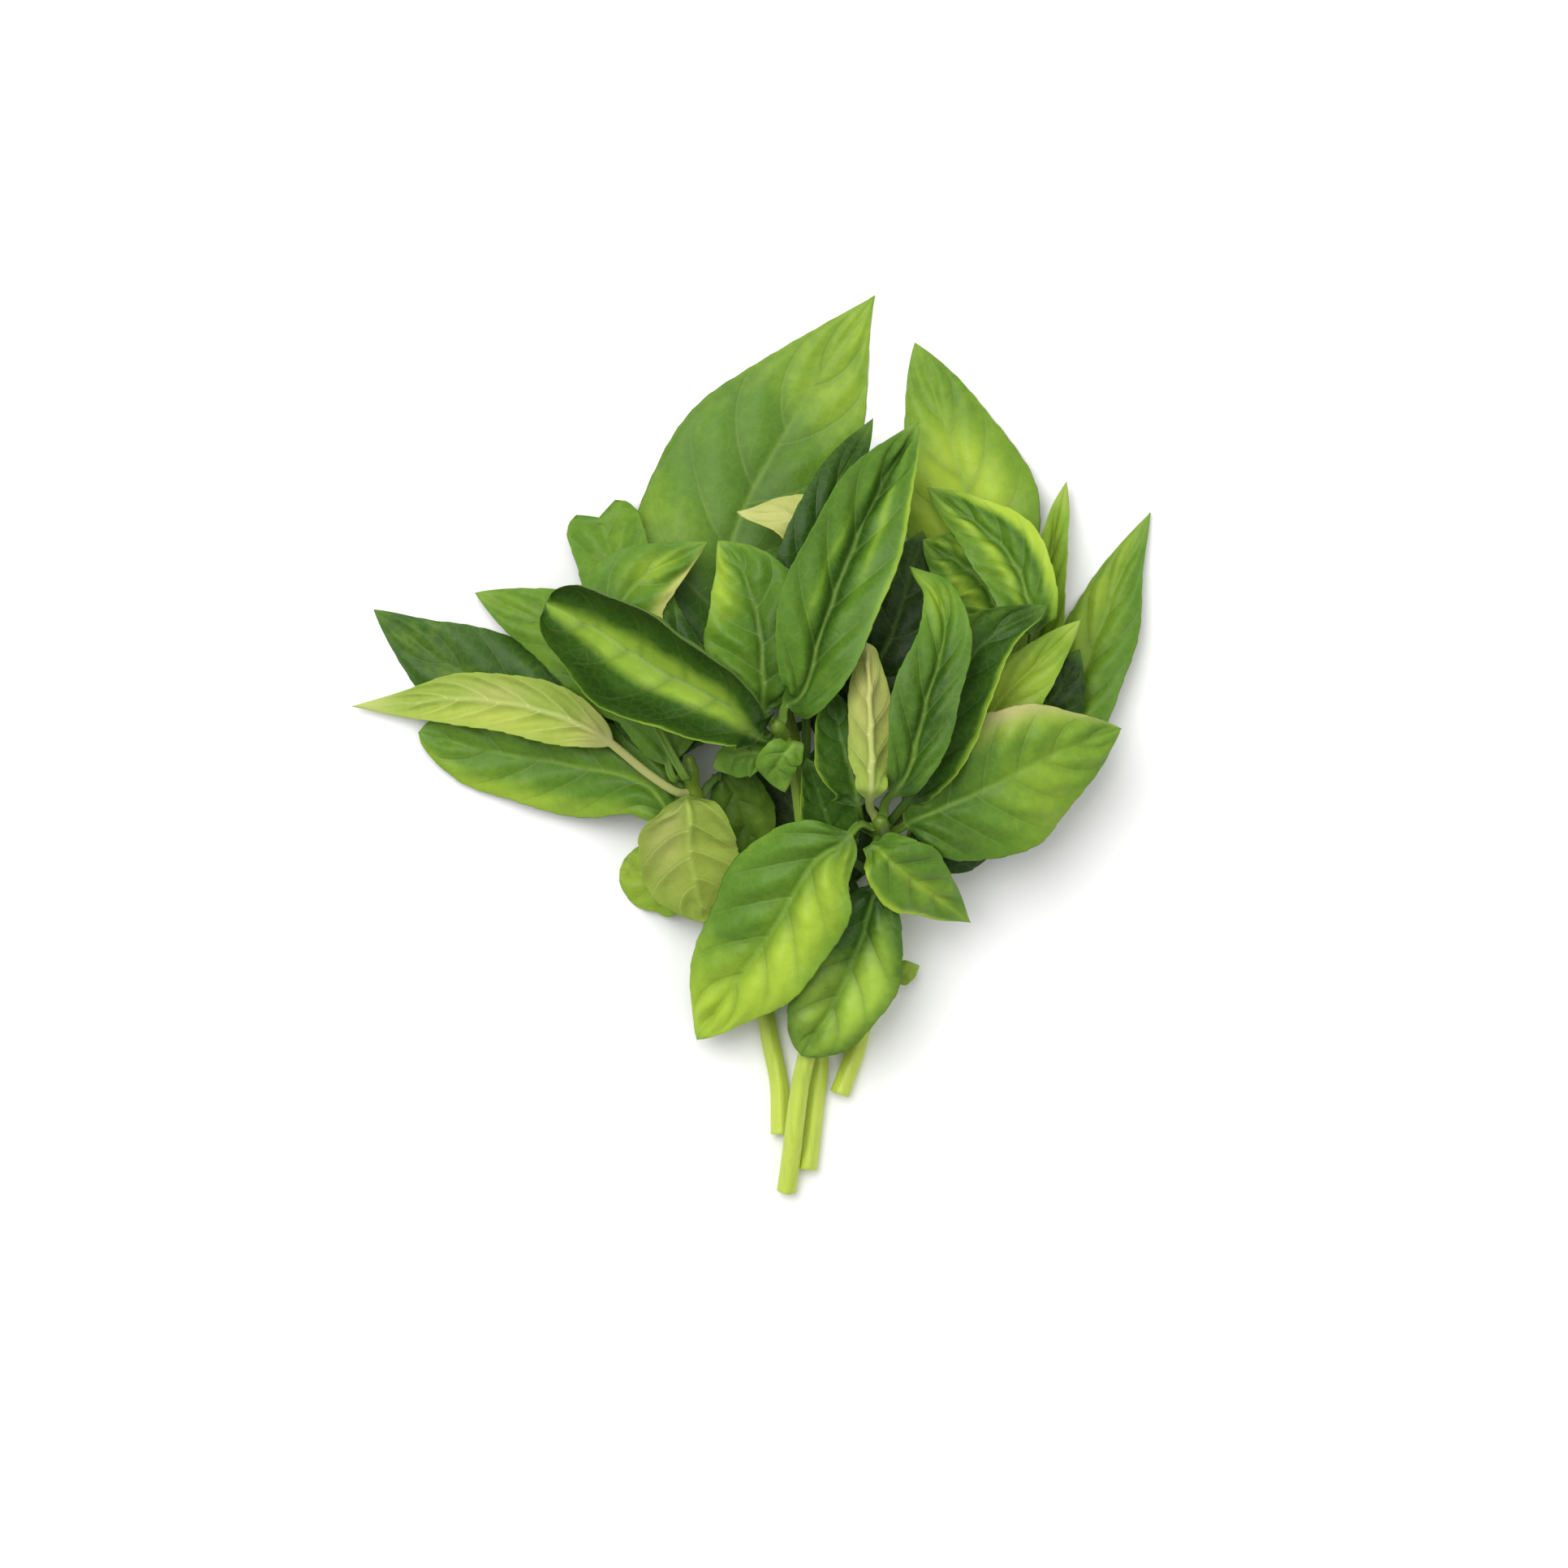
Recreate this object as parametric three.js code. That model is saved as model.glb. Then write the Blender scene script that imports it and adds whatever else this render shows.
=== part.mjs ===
// A cut bunch of sweet basil lying on a table, in millimetres with +Z up. The cut stem ends point to -Y,
// the leaf tips fan out to +Y, and the lowest leaves rest on z = 0.
import * as THREE from "three";
import { mergeVertices } from "three/addons/utils/BufferGeometryUtils.js";

// ---- driving dimensions ------------------------------------------------------------------------------
const BLADE_THICKNESS = 0.5;
const PETIOLE_WIDTH = 1.4;
const PETIOLE_THICKNESS = 1.3;
const EDGE_ROOM = 0.3;          // least half-width, so that a tip is blunt and closed
const LEAST_CURL = 1e-4;        // radians, because the cross-section divides by its curl
const PETIOLE_BEND = 3;         // how far a petiole stands out before it turns towards its blade
const PETIOLE_LEAN = 0.7;       // how much of that is up along the stem, for each part outwards
const JOINT_GAP = 0.7;          // between a petiole's foot and the skin of its stem
const CLEARANCE = 1.1;          // least height from one leaf to what it lies on
const DRAPE_REACH = 10;         // how far a leaf bends around a slight lift
const DRAPE_SPREAD = 1.5;       // how much farther it bends for each millimetre of lift
const ROOT_REACH = 8;           // stretch of a leaf that its petiole holds against lifting
const LIFT_SHARE = 0.6;         // part of a missing height that one lift makes up
const MOST_LIFTS = 60;
const NEAR_ENOUGH = 0.05;       // a missing height that needs no lift
const CELL = 1;                 // grid of the height map of what is laid so far
const SHADOW = 1.7;             // what a laid point keeps free around itself
const HALF_FIELD = 130;
const SLOPE_STEP = 1e-3;        // step in a leaf's own coordinates that its slopes are measured over

const LEAF_CELLS = { across: 4, along: 12 };
const STEM_CELLS = { around: 8, along: 22 };
const LAY_CELLS = { across: 24, along: 44 };

// The blade's outline is share^rise * (1 - share)^fall, scaled to its widest place. It is flat where it is
// narrow, and has its whole fold and curl from the half-width called open on.
const OUTLINE = { rise: 0.62, fall: 0.95, flat: 1, open: 4 };
const RIPPLE_OFFSET = 0.23;     // the two margins ripple out of step by this share of a wave, each way

// ---- finishes ----------------------------------------------------------------------------------------
const FINISHES = {
  dark: { color: 0x2f5a1e, roughness: 0.42, metalness: 0 },
  mid: { color: 0x4f8a2c, roughness: 0.45, metalness: 0 },
  light: { color: 0x86ad38, roughness: 0.5, metalness: 0 },
  pale: { color: 0xb4c766, roughness: 0.6, metalness: 0 },
  stem: { color: 0xb3c63c, roughness: 0.45, metalness: 0 },
};

// ---- stems: points from the cut end up, with the radius at the foot and at the top ---------------------
const STEMS = {
  back: { foot: 2.1, top: 1.4, path: [[11.7, -90, 2.1], [13.8, -72, 2.3], [14.3, -65, 2.6], [14, -48, 4.5],
    [12.3, -31, 6.5], [10.5, -14, 8], [8, 3, 9.5], [5, 15, 11.5], [4, 19, 15]] },
  west: { foot: 2.1, top: 1.3, path: [[6.1, -82.5, 2.1], [5.8, -72, 2.1], [4.1, -63.5, 2.4], [2.4, -55, 3.2],
    [-1.9, -40, 6], [-8, -23, 10], [-12, -11, 13], [-13, -4, 17]] },
  east: { foot: 2.1, top: 1.4, path: [[18.5, -74, 2.1], [20.6, -68.5, 2.2], [22.3, -63.5, 2.5],
    [25.4, -50, 5], [27, -36, 9], [27.4, -25, 12.5], [27.2, -19, 17], [27, -16.5, 23]] },
  middle: { foot: 2.1, top: 1.3, path: [[7.3, -94.7, 2.1], [8.1, -89, 3.6], [8.9, -82, 6.2], [10.2, -72, 7.6],
    [11.7, -65, 8.3], [14.1, -51.5, 9.9], [13.6, -35, 12], [10.7, -17, 15], [9.2, -6, 18], [7.2, 0.5, 22],
    [5.5, 3.5, 27]] },
  branch: { foot: 1.5, top: 1.1, path: [[31.5, -29, 8], [35.5, -15, 7.5], [43, 0, 9], [52, 12, 11],
    [56, 17, 16]] },
};

// ---- leaves ------------------------------------------------------------------------------------------
// A leaf grows from its stem at a share of the stem's length, on a side in degrees (0 right, 90 top,
// 180 left). Its path is the line of the midrib out to the tip; fold is how far each half stands up from
// the midrib, curl how far it bends back towards its margin, and roll turns the blade about the midrib.
const PLAIN = {
  petiole: 8, roll: 0, twist: 0, fold: 12, curl: 34, blunt: 0,
  wave: 0.027, waves: 2.5, phase: 0, finish: "mid",
};

// The leaves under the stems, from the table up.
const UNDER = [
  { name: "under_south_leaf", stem: "east", at: 0.62, side: 200, width: 26, petiole: 10, finish: "dark",
    path: [[19, -25, 2], [9, -14, 0], [0, -4, -1]] },
  { name: "north_leaf", stem: "back", at: 0.9, side: 195, width: 46, blunt: -0.2,
    path: [[-5, 23, 8], [-3.5, 45, 4], [10, 71, 0], [26, 95, -1]] },
  { name: "northeast_leaf", stem: "branch", at: 0.84, side: 170, width: 29,
    path: [[46.5, 31, 7], [46, 50, 5], [41, 67, 2], [34.5, 85, -1]] },
  { name: "lobe_leaf", stem: "west", at: 0.58, side: 190, width: 15, petiole: 6, finish: "light", blunt: 0.5,
    path: [[-12, -31, 6], [-18, -28.5, 3], [-28, -26.5, 0]] },
  { name: "west_leaf", stem: "west", at: 0.88, side: 185, width: 28, finish: "dark",
    path: [[-28, 3, 7], [-49, 9, 3], [-66, 18, 1], [-80, 28.5, -1]] },
  { name: "southwest_leaf", stem: "west", at: 0.74, side: 200, width: 22, petiole: 12, blunt: 0.35,
    path: [[-22, -9, 6], [-38, -4.5, 2], [-55, -1.5, 1], [-70.5, 2.5, 0.5]] },
  { name: "east_leaf", stem: "east", at: 0.82, side: -10, width: 19, roll: 20, petiole: 30, blunt: -0.1,
    path: [[45, -11, 9], [58, -3, 6], [66.5, 8, 5], [73, 23, 4], [78.5, 37, 2], [84.3, 49, 1]] },
  { name: "slim_leaf", stem: "branch", at: 0.6, side: -20, width: 13, fold: 60, finish: "light",
    path: [[55, 10, 5], [61, 24, 5], [62.5, 37, 5], [66.5, 55.5, 2]] },
  { name: "under_north_leaf", stem: "back", at: 0.84, side: -20, width: 26, petiole: 12, finish: "dark",
    path: [[14, 20, 6], [20, 45, 2]] },
  { name: "under_west_leaf", stem: "west", at: 0.95, side: 205, width: 24, finish: "dark",
    path: [[-18, 8, 8], [-22, 17, 5], [-29, 27, 1.5]] },
  { name: "under_middle_leaf", stem: "back", at: 0.77, side: -10, width: 28, finish: "dark",
    path: [[19, 6, 6], [29, 22, 4], [36, 45, 2]] },
  { name: "under_branch_leaf", stem: "branch", at: 0.5, side: -30, width: 17, finish: "dark",
    path: [[53, -1, 6], [63, 9, 3], [69, 20, 1]] },
  { name: "under_east_leaf", stem: "east", at: 0.74, side: -40, width: 18, finish: "dark",
    path: [[41, -20, 6], [54, -11, 2], [66, -5, 1]] },
  { name: "shade_leaf", stem: "west", at: 0.9, side: -20, width: 13, petiole: 6, finish: "dark",
    path: [[-6, -7, 11], [-2, -14, 8], [1, -29, 3]] },
  { name: "northwest_leaf", stem: "west", at: 0.97, side: 160, width: 23,
    path: [[-21, 11, 12], [-38, 23, 8], [-58.5, 32, 2]] },
  { name: "notched_leaf", stem: "back", at: 0.82, side: 180, width: 17, blunt: 0.8, petiole: 20,
    path: [[-5, 10, 9], [-17, 21, 8], [-27, 34, 7], [-33, 50, 4]] },
];

// The leaves over the stems, in the order in which they lie on each other.
const OVER = [
  { name: "bumpy_leaf", stem: "west", at: 0.98, side: 110, width: 21, petiole: 20, blunt: -0.1,
    path: [[-22, 8, 19], [-28, 21, 17], [-25, 33, 15], [-9, 42.5, 14]] },
  { name: "pale_tip_leaf", stem: "back", at: 1, side: -70, width: 15, petiole: 14, roll: 180, finish: "pale",
    path: [[12.5, 29, 17], [15, 39, 18], [10, 47, 17], [-3, 48.5, 13]] },
  { name: "grooved_leaf", stem: "branch", at: 0.95, side: 170, width: 19, petiole: 12, fold: 30,
    path: [[53, 22, 14], [48.5, 34, 13], [36, 43, 10]] },
  { name: "ridged_leaf", stem: "branch", at: 1, side: -90, width: 16, petiole: 10, fold: 30,
    path: [[58.5, 28, 20], [53, 41, 15], [37, 54, 9]] },
  { name: "olive_leaf", stem: "west", at: 0.9, side: 110, width: 22, petiole: 5, roll: 180, blunt: 0.25,
    finish: "light", path: [[-13, -15, 19.5], [-13, -23, 15], [-10, -37.5, 8]] },
  { name: "pale_west_leaf", stem: "west", at: 0.92, side: 150, width: 13, petiole: 22, roll: 180,
    blunt: -0.15, finish: "pale", path: [[-22, -6, 17], [-33, 2.5, 14], [-46, 7.5, 12], [-61, 9.5, 8],
      [-73, 8.5, 4], [-84.5, 8, 2]] },
  { name: "dark_blade_leaf", stem: "middle", at: 0.87, side: -50, width: 17, petiole: 14, fold: 32,
    finish: "dark", path: [[11.5, 14, 19], [13, 35, 17], [17.5, 53, 14], [25.5, 68.5, 9]] },
  { name: "lower_west_leaf", stem: "east", at: 0.75, side: 175, width: 15, petiole: 7, curl: -60,
    finish: "dark", path: [[18.5, -22, 12], [14.5, -12, 12], [11.5, -3, 12]] },
  { name: "inner_west_leaf", stem: "east", at: 0.9, side: 205, width: 18, petiole: 9, curl: -60,
    finish: "dark", path: [[21.5, -9, 18], [18.5, 2, 18], [17, 11, 17]] },
  { name: "inner_east_leaf", stem: "east", at: 0.88, side: -40, width: 16, fold: 30, finish: "light",
    path: [[43, -2, 16], [53, 10, 14], [62, 19, 12], [69, 26, 9]] },
  { name: "southeast_leaf", stem: "east", at: 0.91, side: 0, width: 31, petiole: 6,
    path: [[34, -16, 19], [48, -10, 15], [64, -2, 9], [77.5, 3.3, 4]] },
  { name: "rim_leaf", stem: "east", at: 0.94, side: -35, width: 20, petiole: 8, curl: -50, finish: "dark",
    path: [[35, -8, 20], [40, 4, 20], [47.5, 20, 18], [62, 29, 13]] },
  { name: "tan_leaf", stem: "east", at: 0.98, side: 245, width: 14, petiole: 7, fold: 60, roll: 180,
    blunt: 0.3, finish: "pale", path: [[25, -6, 26], [24.5, 13, 22], [24, 21, 21]] },
  { name: "striped_leaf", stem: "east", at: 1, side: -70, width: 16, petiole: 7, fold: 45,
    path: [[32.5, -6, 25], [36.5, 9, 24], [40, 21.5, 21], [39, 31, 19], [33, 37, 16]] },
  { name: "tiny_leaf", stem: "east", at: 0.39, side: 0, width: 5, petiole: 3, finish: "light",
    path: [[35.4, -46.8, 5]] },
  { name: "low_leaf", stem: "east", at: 0.72, side: 120, width: 23, petiole: 6, fold: 30, blunt: 0.3,
    finish: "dark", path: [[25.5, -31, 15.5], [23, -41, 12], [17.5, -54, 6], [10.5, -65.5, 1]] },
  { name: "small_southeast_leaf", stem: "east", at: 0.93, side: 115, width: 15.5, petiole: 4.5, fold: 22,
    blunt: -0.2, path: [[26.7, -22.2, 20.5], [31, -26.2, 17], [38.8, -32, 10], [46, -37.5, 4]] },
  { name: "front_leaf", stem: "east", at: 0.96, side: 185, width: 28, petiole: 8, fold: 22, blunt: 0.1,
    path: [[19, -20.5, 23], [12.5, -25.5, 19.5], [5, -38, 12.5], [-3.5, -50.5, 5.5], [-11.5, -62.3, 1]] },
  { name: "tab_leaf", stem: "middle", at: 0.91, side: 170, width: 10, petiole: 5,
    path: [[-1.5, -2, 22], [-8, -5, 18]] },
  { name: "drop_leaf", stem: "middle", at: 0.96, side: 80, width: 9, petiole: 4,
    path: [[5.5, -4.5, 24], [7, -10, 19]] },
  { name: "centre_leaf", stem: "middle", at: 0.99, side: 260, width: 24, petiole: 5, fold: 15,
    path: [[2.5, 12.5, 28], [1.5, 25, 27], [-2, 36, 25], [-7, 42.5, 22]] },
  { name: "upright_leaf", stem: "middle", at: 1, side: -35, width: 25, petiole: 5, fold: 50,
    path: [[11, 11, 28], [15.5, 26, 27], [24.5, 48.5, 24], [35, 67.5, 14]] },
  { name: "boat_leaf", stem: "middle", at: 0.97, side: 195, width: 40, petiole: 5, roll: 10, fold: 20,
    curl: -70, blunt: 0.45, finish: "dark",
    path: [[-6, 8.5, 26], [-19, 15.5, 24], [-31.5, 23.5, 22], [-43, 29.5, 20]] },
];

// ---- small helpers -----------------------------------------------------------------------------------
const UP = new THREE.Vector3(0, 0, 1);
const radians = THREE.MathUtils.degToRad;
const smooth = THREE.MathUtils.smoothstep;

function curveThrough(points) {
  return new THREE.CatmullRomCurve3(points.map((p) => new THREE.Vector3(...p)), false, "catmullrom", 0.5);
}

/** Directions across a line, level and upwards, at right angles to its course there. */
function crossFrame(along, level) {
  const side = level.clone().addScaledVector(along, -level.dot(along)).normalize();
  return { side, up: side.clone().cross(along) };
}

/** Moves every corner of a closed box or cylinder to its place on the piece. */
function shaped(blank, place) {
  blank.deleteAttribute("normal");
  blank.deleteAttribute("uv");
  const solid = mergeVertices(blank);
  const corners = solid.getAttribute("position");
  for (let i = 0; i < corners.count; i++) {
    const spot = place(corners.getX(i), corners.getY(i), corners.getZ(i));
    corners.setXYZ(i, spot.x, spot.y, spot.z);
  }
  solid.computeVertexNormals();
  return solid;
}

// ---- stems -------------------------------------------------------------------------------------------
function stemAt(stem, share) {
  const centre = stem.curve.getPointAt(share);
  const along = stem.curve.getTangentAt(share);
  const { side, up } = crossFrame(along, along.clone().cross(UP));
  return { centre, along, side, up, radius: THREE.MathUtils.lerp(stem.foot, stem.top, share) };
}

function stemGeometry(stem) {
  const blank = new THREE.CylinderGeometry(1, 1, 1, STEM_CELLS.around, STEM_CELLS.along);
  return shaped(blank, (x, y, z) => {
    const ring = stemAt(stem, y + 0.5);
    return ring.centre.addScaledVector(ring.side, x * ring.radius).addScaledVector(ring.up, z * ring.radius);
  });
}

// ---- leaves ------------------------------------------------------------------------------------------
function planLeaf(entry, stems) {
  const leaf = { ...PLAIN, ...entry };
  const ring = stemAt(stems[leaf.stem], leaf.at);
  const angle = radians(leaf.side);
  const outward = ring.side.multiplyScalar(Math.cos(angle)).addScaledVector(ring.up, Math.sin(angle));
  const root = ring.centre.addScaledVector(outward, ring.radius + JOINT_GAP);
  const leaving = outward.addScaledVector(ring.along, PETIOLE_LEAN).normalize();
  const bend = root.clone().addScaledVector(leaving, PETIOLE_BEND);
  leaf.curve = curveThrough([root.toArray(), bend.toArray(), ...leaf.path]);
  leaf.length = leaf.curve.getLength();
  leaf.level = leaf.curve.getPoint(1).sub(root).cross(UP).normalize();
  leaf.lifts = [];
  return leaf;
}

function bladeShare(leaf, share) {
  const petiole = leaf.petiole / leaf.length;
  return THREE.MathUtils.clamp((share - petiole) / (1 - petiole), 0, 1);
}

function halfWidth(leaf, share) {
  const blade = bladeShare(leaf, share);
  const { rise } = OUTLINE;
  const fall = OUTLINE.fall * (1 - leaf.blunt);
  const widest = rise / (rise + fall);
  const outline = (blade / widest) ** rise * ((1 - blade) / (1 - widest)) ** fall;
  return Math.hypot(outline * leaf.width / 2, (1 - blade) * PETIOLE_WIDTH / 2) + EDGE_ROOM;
}

/** A point of the leaf's middle surface before it is laid; across runs from -1 to 1. */
function designPoint(leaf, across, share) {
  const centre = leaf.curve.getPointAt(share);
  const { side, up } = crossFrame(leaf.curve.getTangentAt(share), leaf.level);
  const roll = radians(leaf.roll + leaf.twist * (share - 0.5));
  const outward = side.clone().multiplyScalar(Math.cos(roll)).addScaledVector(up, Math.sin(roll));
  const face = up.multiplyScalar(Math.cos(roll)).addScaledVector(side, -Math.sin(roll));
  const blade = bladeShare(leaf, share);
  const half = halfWidth(leaf, share);
  const open = smooth(half, OUTLINE.flat, OUTLINE.open);
  const fold = radians(leaf.fold) * open;
  const curl = radians(leaf.curl) * open + LEAST_CURL;
  const edge = Math.abs(across);
  const run = (Math.sin(fold) - Math.sin(fold - curl * edge)) / curl;
  const rise = (Math.cos(fold - curl * edge) - Math.cos(fold)) / curl;
  const ripple = leaf.wave * leaf.width * edge ** 2 * Math.sin(Math.PI * blade)
    * Math.sin(2 * Math.PI * (leaf.waves * blade + leaf.phase + RIPPLE_OFFSET * Math.sign(across)));
  return centre.addScaledVector(outward, Math.sign(across) * run * half)
    .addScaledVector(face, rise * half + ripple);
}

function halfThickness(leaf, across, share) {
  const blade = bladeShare(leaf, share);
  const spine = (1 - blade) * Math.exp(-((across * halfWidth(leaf, share) / PETIOLE_WIDTH) ** 2));
  return (BLADE_THICKNESS + (PETIOLE_THICKNESS - BLADE_THICKNESS) * spine) / 2;
}

/** A point of the middle surface where it lies: lifted over the leaves below, and never under the table. */
function laidPoint(leaf, across, share) {
  const spot = designPoint(leaf, across, share);
  const hold = smooth(share * leaf.length, 0, ROOT_REACH);
  let lift = 0;
  for (const { x, y, height, reach } of leaf.lifts) {
    lift += height * Math.exp(-((spot.x - x) ** 2 + (spot.y - y) ** 2) / (2 * reach ** 2));
  }
  spot.z = Math.max(spot.z + lift * hold, halfThickness(leaf, across, share));
  return spot;
}

function leafGeometry(leaf) {
  const blank = new THREE.BoxGeometry(2, 1, 2, LEAF_CELLS.across, LEAF_CELLS.along, 1);
  return shaped(blank, (x, y, z) => {
    const share = y + 0.5;
    const ahead = laidPoint(leaf, x, Math.min(share + SLOPE_STEP, 1));
    const behind = laidPoint(leaf, x, Math.max(share - SLOPE_STEP, 0));
    const right = laidPoint(leaf, Math.min(x + SLOPE_STEP, 1), share);
    const left = laidPoint(leaf, Math.max(x - SLOPE_STEP, -1), share);
    const normal = right.sub(left).cross(ahead.sub(behind)).normalize();
    return laidPoint(leaf, x, share).addScaledVector(normal, z * halfThickness(leaf, x, share));
  });
}

// ---- laying ------------------------------------------------------------------------------------------
/** A height map of what lies on the table so far. */
class Pile {
  constructor() {
    this.size = 2 * HALF_FIELD / CELL + 1;
    this.heights = new Float64Array(this.size ** 2).fill(-Infinity);
  }

  index(x, y) {
    return Math.round((y + HALF_FIELD) / CELL) * this.size + Math.round((x + HALF_FIELD) / CELL);
  }

  heightAt(spot) {
    return this.heights[this.index(spot.x, spot.y)];
  }

  cover(spot, top, room) {
    const reach = Math.ceil(room / CELL);
    for (let i = -reach; i <= reach; i++) {
      for (let j = -reach; j <= reach; j++) {
        if (Math.hypot(i, j) * CELL > room) continue;
        const cell = this.index(spot.x + i * CELL, spot.y + j * CELL);
        this.heights[cell] = Math.max(this.heights[cell], top);
      }
    }
  }
}

/** Points all over a leaf's middle surface, from a distance along it on. */
function laySpots(leaf, start) {
  const spots = [];
  for (let j = 0; j <= LAY_CELLS.along; j++) {
    for (let i = 0; i <= LAY_CELLS.across; i++) {
      const share = j / LAY_CELLS.along;
      if (share * leaf.length < start) continue;
      spots.push(laidPoint(leaf, 2 * i / LAY_CELLS.across - 1, share));
    }
  }
  return spots;
}

/** Lifts a leaf where it would touch what lies below it, a smooth rise at a time, then piles it up. */
function layLeaf(leaf, pile) {
  for (let k = 0; k < MOST_LIFTS; k++) {
    let worst = { missing: NEAR_ENOUGH };
    for (const spot of laySpots(leaf, ROOT_REACH)) {
      const missing = pile.heightAt(spot) + CLEARANCE - spot.z;
      if (missing > worst.missing) worst = { missing, spot };
    }
    if (!worst.spot) break;
    const reach = DRAPE_REACH + DRAPE_SPREAD * worst.missing;
    leaf.lifts.push({ x: worst.spot.x, y: worst.spot.y, height: worst.missing * LIFT_SHARE, reach });
  }
  for (const spot of laySpots(leaf, PETIOLE_BEND)) pile.cover(spot, spot.z, SHADOW);
}

function layStem(stem, pile) {
  const steps = Math.ceil(stem.curve.getLength() / CELL);
  for (let k = 0; k <= steps; k++) {
    const ring = stemAt(stem, k / steps);
    pile.cover(ring.centre, ring.centre.z + ring.radius, ring.radius + 1);
  }
}

// ---- the bunch ---------------------------------------------------------------------------------------
function addPiece(group, name, geometry, finish) {
  const piece = new THREE.Mesh(geometry, new THREE.MeshStandardMaterial(FINISHES[finish]));
  piece.name = name;
  group.add(piece);
}

function buildBunch() {
  const bunch = new THREE.Group();
  const stems = {};
  for (const [name, stem] of Object.entries(STEMS)) stems[name] = { ...stem, curve: curveThrough(stem.path) };
  const pile = new Pile();
  const under = UNDER.map((entry) => planLeaf(entry, stems));
  const over = OVER.map((entry) => planLeaf(entry, stems));
  for (const leaf of under) layLeaf(leaf, pile);
  for (const stem of Object.values(stems)) layStem(stem, pile);
  for (const leaf of over) layLeaf(leaf, pile);
  for (const [name, stem] of Object.entries(stems)) {
    addPiece(bunch, `${name}_stem`, stemGeometry(stem), "stem");
  }
  for (const leaf of [...under, ...over]) addPiece(bunch, leaf.name, leafGeometry(leaf), leaf.finish);
  return bunch;
}

export default buildBunch();
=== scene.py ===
import logging
import math
from dataclasses import dataclass, field
from enum import Enum
from functools import cached_property
from typing import Optional, Union

import bpy
import numpy as np
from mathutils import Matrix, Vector


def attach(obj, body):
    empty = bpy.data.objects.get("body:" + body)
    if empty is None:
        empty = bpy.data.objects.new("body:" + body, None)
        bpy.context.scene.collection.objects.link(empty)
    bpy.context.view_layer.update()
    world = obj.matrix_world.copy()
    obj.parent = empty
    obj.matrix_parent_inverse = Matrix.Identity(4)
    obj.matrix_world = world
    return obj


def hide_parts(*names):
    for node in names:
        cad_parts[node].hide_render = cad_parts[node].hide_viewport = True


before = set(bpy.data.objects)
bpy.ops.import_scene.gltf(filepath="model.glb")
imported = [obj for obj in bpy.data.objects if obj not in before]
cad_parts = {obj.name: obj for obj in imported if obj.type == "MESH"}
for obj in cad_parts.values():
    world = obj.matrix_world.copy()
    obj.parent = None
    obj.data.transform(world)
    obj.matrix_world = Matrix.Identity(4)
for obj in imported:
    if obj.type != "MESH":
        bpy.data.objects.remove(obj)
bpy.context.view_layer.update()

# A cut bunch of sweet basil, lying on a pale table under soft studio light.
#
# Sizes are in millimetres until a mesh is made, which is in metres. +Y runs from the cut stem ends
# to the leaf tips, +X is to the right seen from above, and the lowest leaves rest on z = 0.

LOG = logging.getLogger("basil")

MM = 0.001
UP = np.array([0.0, 0.0, 1.0])
TINY = 1e-12
ROOT_BODY = "root"

# ---- the rules of growth, as real sizes ----
PETIOLE_WIDTH = 1.4  # of the massing that the leaves are laid by
PETIOLE_THICKNESS = 1.3
BLADE_THICKNESS = 0.5
EDGE_ROOM = 0.3
LEAST_CURL = 1e-4  # radians, because the cross-section divides by its curl
PETIOLE_BEND = 3.0  # how far a petiole stands out before it turns towards its blade
PETIOLE_LEAN = 0.7  # how much of that is up along the stem, for each part outwards
JOINT_GAP = 0.7  # between the foot of the massing and the skin of its stem
JOINT_SINK = 0.45  # how deep a petiole starts in its stem, as a share of the radius
CLEARANCE = 1.1  # height that a leaf keeps over what it lies on
DRAPE_REACH = 10.0  # how widely a leaf bends where it is lifted
DRAPE_SPREAD = 1.5  # and how much more widely for each millimetre of lift
ROOT_REACH = 8.0  # the first part of a leaf, which isn't lifted
LIFT_SHARE = 0.6  # how much of what is missing is lifted at a time
MOST_LIFTS = 60
NEAR_ENOUGH = 0.05
CELL = 1.0  # of the height map
SHADOW = 1.7  # how far around itself a leaf holds up the next one
STEM_ROOM = 1.0  # the same for a stem
HALF_FIELD = 130.0  # half the side of the height map
LAY_ACROSS = 24  # cells of the massing
LAY_ALONG = 44
OUTLINE_RISE = 0.62  # how roundly a blade opens, and how slimly it ends
OUTLINE_FALL = 0.95
FLAT_HALF_WIDTH = 1.0  # narrower than this the blade is flat
OPEN_HALF_WIDTH = 4.0  # wider than this it has its whole fold and curl
RIPPLE = 0.027  # height of the margin's waves, as a share of the width
RIPPLES = 2.5
RIPPLE_OFFSET = 0.23  # by how much of a wave the margins are out of step, each way
COURSE_STEPS = 200
TANGENT_STEP = 1e-4


def smoothstep(value: np.ndarray, low: float, high: float) -> np.ndarray:
    """Gives shares that rise smoothly from 0 where the value is low to 1 where it is high."""
    part = np.clip((np.asarray(value, float) - low) / (high - low), 0.0, 1.0)
    return part * part * (3.0 - 2.0 * part)


def unit(vectors: np.ndarray) -> np.ndarray:
    """Scales vectors to length one."""
    return vectors / np.maximum(np.linalg.norm(vectors, axis=-1, keepdims=True), TINY)


def cross_frame(along: np.ndarray, level: np.ndarray) -> tuple[np.ndarray, np.ndarray]:
    """Gives the directions across a line, level and upwards, at right angles to its course.

    Args:
        along: the course of the line at each spot.
        level: the direction that the first answer stays closest to.

    Returns:
        The level direction and the upward one, for each spot.
    """
    level = np.broadcast_to(level, along.shape)
    side = unit(level - along * (level * along).sum(-1, keepdims=True))
    return side, np.cross(side, along)


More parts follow.
